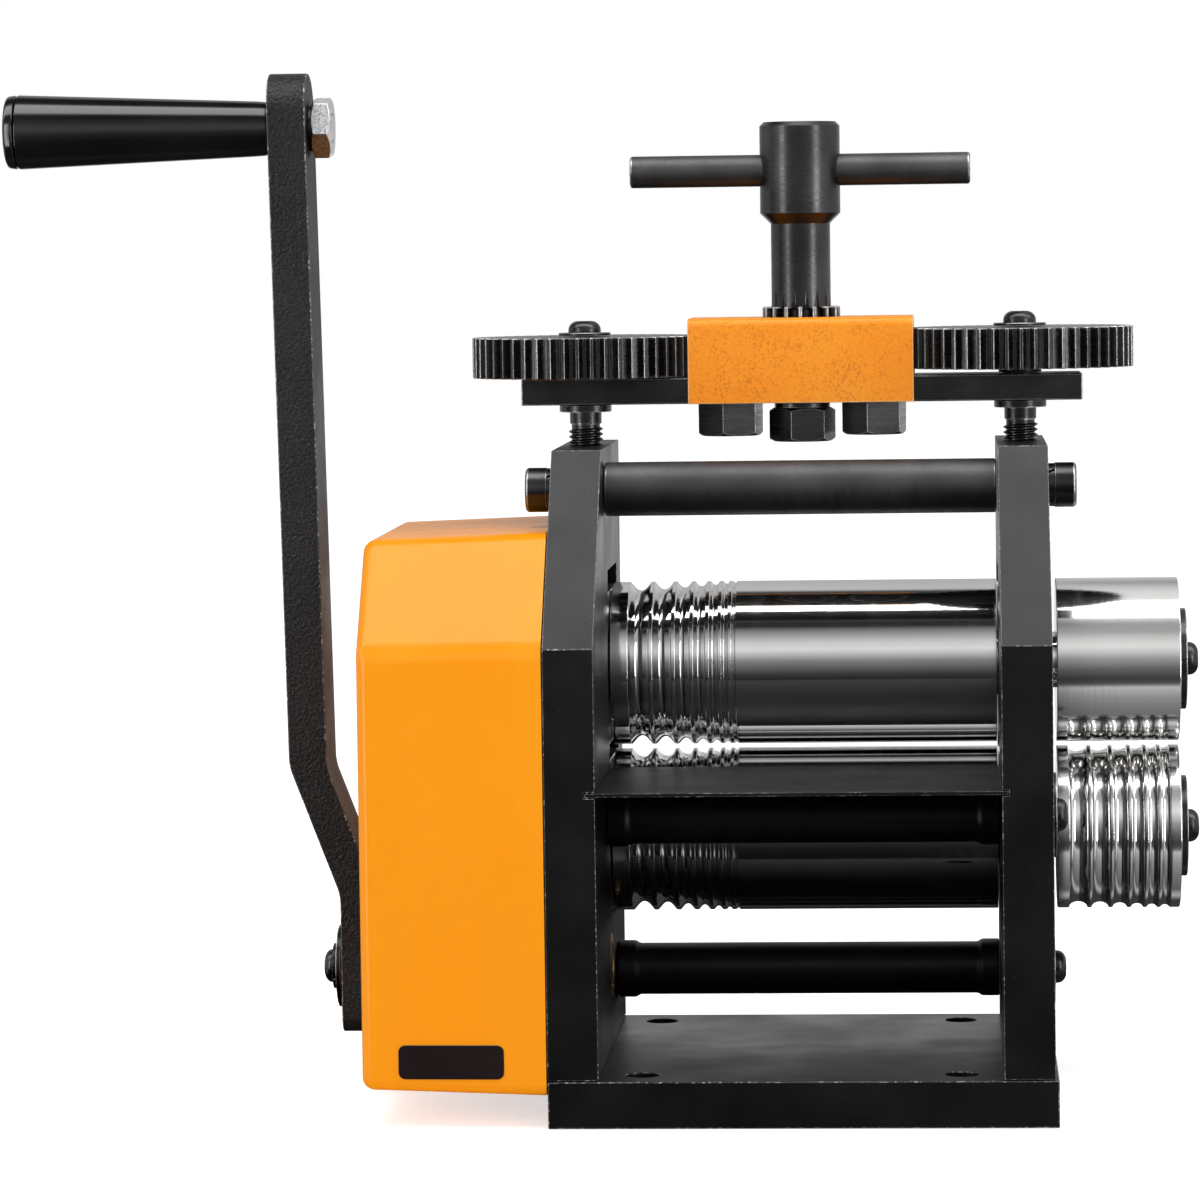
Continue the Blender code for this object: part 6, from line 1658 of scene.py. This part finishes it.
@dataclass(frozen=True)
class Studio:
    """Camera, floor, light tent and lamps."""

    eye: Place = (0.04037, -1.48421, 0.24164)
    yaw: float = 3.771
    pitch: float = 3.863
    roll: float = -0.77
    lens: float = 157.25
    tent_radius: float = 0.6
    tent_half_length: float = 1.1
    tent_sweep: Pair = (-172.0, 172.0)
    tent_strength: float = 5.5
    tent_levels: tuple[Pair, ...] = (
        (-172, 0.02), (-120, 0.02), (-98, 0.08), (-85, 0.01), (-36, 0.006), (-27, 0.010), (-18, 0.022), (-10, 0.055),
        (-2, 0.14), (7, 0.25), (15, 0.55), (23, 0.87), (32, 0.72), (41, 0.45), (50, 0.2), (55, 0.02), (64, 0.02),
        (68, 5.5), (89, 5.5), (93, 0.05), (110, 0.012), (118, 0.08), (124, 0.6), (138, 0.55), (172, 0.45),
    )
    side_levels: tuple[Pair, ...] = (
        (-172, 0.05), (-120, 0.05), (-106, 0.5), (-94, 0.13), (-66, 0.23), (-50, 0.33), (-38, 0.5), (-34, 0.65),
        (-29, 0.1), (-21, 0.05), (-7, 0.15), (7, 0.39), (14, 0.65), (24, 0.95), (35, 0.73), (44, 0.45), (55, 0.4),
        (64, 0.77), (68, 5.5), (89, 5.5), (93, 0.97), (110, 0.9), (123, 0.67), (137, 0.4), (172, 0.7),
    )
    open_side: Pair = (0.066, 0.095)
    floor_lift: float = 0.62
    floor_size: float = 6.0
    floor_drop: float = 0.0002
    tent_steps: int = 68
    tent_height: float = 0.1
    strip_powers: Pair = (1.1, 1.3)
    world_levels: Pair = (0.56, 1.0)
    sensor_width: float = 36.0

    def build(self) -> None:
        """Set the whole studio up."""
        self.camera()
        self.floor()
        self.world()
        self.lamps()
        self.tent()

    def camera(self) -> None:
        """The camera at the photograph's viewing angle."""
        yaw, pitch, roll = (math.radians(angle) for angle in (self.yaw, self.pitch, self.roll))
        ahead = Vector((-math.sin(yaw) * math.cos(pitch), math.cos(yaw) * math.cos(pitch), -math.sin(pitch)))
        right = Vector((math.cos(yaw), math.sin(yaw), 0))
        up = right.cross(ahead)
        across = right * math.cos(roll) + up * math.sin(roll)
        above = up * math.cos(roll) - right * math.sin(roll)
        turn = Matrix((across, above, -ahead)).transposed()
        data = bpy.data.cameras.new("camera")
        data.lens, data.sensor_width = self.lens, self.sensor_width
        data.clip_start, data.clip_end = 0.05, 20.0
        camera = bpy.data.objects.new("camera", data)
        camera.matrix_world = Matrix.Translation(self.eye) @ turn.to_4x4()
        bpy.context.scene.collection.objects.link(camera)
        bpy.context.scene.camera = camera

    def floor(self) -> None:
        """Plain pale floor under the mill."""
        form = Form()
        bmesh.ops.create_grid(form.bm, x_segments=1, y_segments=1, size=self.floor_size)
        mesh = bpy.data.meshes.new("floor")
        form.bm.to_mesh(mesh)
        form.bm.free()
        recipe = Recipe("pale_floor")
        clouds = recipe.level(recipe.noise(3.0), STREAK_EDGE, FULL_SHARE)
        recipe.feed(recipe.mix(clouds, (0.93, 0.93, 0.93), (0.95, 0.95, 0.95)), "Base Color")
        recipe.constant("Roughness", 0.9).constant("Specular IOR Level", 0.1)
        recipe.constant("Emission Color", WHITE)
        path = wired(recipe.tree, "LightPath", {})
        lift = recipe.level(path.outputs["Is Camera Ray"], FULL_SHARE, (0.0, self.floor_lift))
        recipe.feed(lift, "Emission Strength")
        mesh.materials.append(recipe.material)
        floor = bpy.data.objects.new("floor", mesh)
        floor.location.z = -self.floor_drop
        floor.visible_glossy = False
        bpy.context.scene.collection.objects.link(floor)

    def world(self) -> None:
        """White behind the mill, also in its reflections, and a plain level for everything else."""
        world = bpy.data.worlds.new("studio")
        world.use_nodes = True
        tree = world.node_tree
        tree.nodes.clear()
        path = wired(tree, "LightPath", {})
        seen = path.outputs["Is Camera Ray"]
        for name in ("Is Glossy Ray", "Is Transmission Ray"):
            seen = wired(tree, "Math", {0: seen, 1: path.outputs[name]}, operation="MAXIMUM").outputs[0]
        plain, white = (
            wired(tree, "Background", {"Color": WHITE, "Strength": level}).outputs[0] for level in self.world_levels
        )
        mix = wired(tree, "MixShader", {0: seen, 1: plain, 2: white})
        wired(tree, "OutputWorld", {"Surface": mix.outputs[0]})
        bpy.context.scene.world = world

    def lamp(self, name: str, at: Place, aim: Place, size: Pair, power: float, in_gloss: bool) -> bpy.types.Object:
        """One area lamp.

        Args:
            name: The lamp's name.
            at: Where it stands.
            aim: What it points at.
            size: Its width and height.
            power: Its power in watts.
            in_gloss: Whether shiny pieces show it.

        Returns:
            The lamp.
        """
        data = bpy.data.lights.new(name, "AREA")
        data.shape = "RECTANGLE"
        data.size, data.size_y = size
        data.energy = power
        lamp = bpy.data.objects.new(name, data)
        lamp.location = at
        lamp.rotation_euler = (Vector(aim) - Vector(at)).to_track_quat("-Z", "Y").to_euler()
        lamp.visible_glossy = in_gloss
        lamp.visible_camera = False
        bpy.context.scene.collection.objects.link(lamp)
        return lamp

    def lamps(self) -> None:
        """A broad lamp above, weaker ones in front and on the right, and a strip on either side for gloss."""
        self.lamp("top_lamp", (0.0, -0.35, 1.25), (0, 0, 0.1), (1.6, 0.7), 9.0, True)
        self.lamp("front_lamp", (-0.5, -1.9, 0.9), (0, 0, 0.12), (1.2, 0.9), 4.6, False)
        self.lamp("right_lamp", (1.5, -0.3, 0.6), (0, 0, 0.12), (0.8, 0.8), 5.0, False)
        for side, power in zip(SIDES, self.strip_powers):
            at = (side * 0.42, -0.33, 0.2)
            strip = self.lamp(f"strip_lamp_{side + 1}", at, (0, 0, 0.2), (0.09, 0.5), power, True)
            strip.visible_diffuse = False

    def tent(self) -> None:
        """A curved screen that only shiny pieces see, with soft boxes and gaps between them."""
        form = Form()
        start = math.radians(self.tent_sweep[0])
        first = Vector((0, -math.cos(start), math.sin(start))) * self.tent_radius
        ends = [form.bm.verts.new((side * self.tent_half_length, *first.yz)) for side in SIDES]
        edge = form.bm.edges.new(ends)
        bmesh.ops.spin(
            form.bm, geom=[*ends, edge], cent=(0, 0, 0), axis=(1, 0, 0),
            angle=-math.radians(self.tent_sweep[1] - self.tent_sweep[0]), steps=self.tent_steps,
        )
        mesh = bpy.data.meshes.new("light_tent")
        form.bm.to_mesh(mesh)
        form.bm.free()
        mesh.materials.append(self.tent_material())
        tent = bpy.data.objects.new("light_tent", mesh)
        tent.location = (0, DATUM.roll_y, self.tent_height)
        for seen in ("visible_camera", "visible_diffuse", "visible_shadow", "visible_transmission"):
            setattr(tent, seen, False)
        bpy.context.scene.collection.objects.link(tent)

    def tent_material(self) -> bpy.types.Material:
        """Glow by height over the horizon, with its own levels on the right for the side rolls."""
        material = bpy.data.materials.new("soft_boxes")
        material.use_nodes = True
        tree = material.node_tree
        tree.nodes.clear()
        place = wired(tree, "TexCoord", {}).outputs["Object"]
        across = wired(tree, "SeparateXYZ", {0: place}).outputs
        ahead = wired(tree, "Math", {0: across["Y"], 1: -1.0}, operation="MULTIPLY")
        angle = wired(tree, "Math", {0: across["Z"], 1: ahead.outputs[0]}, operation="ARCTAN2")
        low, high = (math.radians(end) for end in self.tent_sweep)
        share = wired(tree, "MapRange", {"Value": angle.outputs[0], "From Min": low, "From Max": high})
        near, far = self.open_side
        beside = wired(tree, "MapRange", {"Value": across["X"], "From Min": near, "From Max": far})
        colours = {0: beside.outputs[0]}
        for socket, levels in ((MIX_FIRST, self.tent_levels), (MIX_SECOND, self.side_levels)):
            ramp = wired(tree, "ValToRGB", {0: share.outputs[0]})
            self.paint_ramp(ramp.color_ramp, levels)
            colours[socket] = ramp.outputs[0]
        mix = wired(tree, "Mix", colours, data_type="RGBA")
        glow = wired(tree, "Emission", {"Color": mix.outputs[MIX_RESULT], "Strength": self.tent_strength})
        wired(tree, "OutputMaterial", {"Surface": glow.outputs[0]})
        return material

    def paint_ramp(self, ramp: bpy.types.ColorRamp, levels: Sequence[Pair]) -> None:
        """Write (degrees over the horizon, level) pairs into a colour ramp."""
        low, high = self.tent_sweep
        for number, (degrees, level) in enumerate(levels):
            at = (degrees - low) / (high - low)
            stop = ramp.elements[number] if number < 2 else ramp.elements.new(at)
            stop.position = at
            share = level / self.tent_strength
            stop.color = (share, share, share, 1.0)


def main() -> None:
    """Build the mill in order and set up the studio."""
    logging.basicConfig(level=logging.INFO, format="%(message)s", stream=sys.stdout)
    for assembly in (Bed(), Bearings(), Rolls(), Gearbox(), Crank(), ScrewDown(), TeeSpindle()):
        LOG.info("building %s", type(assembly).__name__)
        assembly.build()
    Studio().build()
    view = bpy.context.scene.view_settings
    view.view_transform = "Standard"


if __name__ == "__main__":
    main()
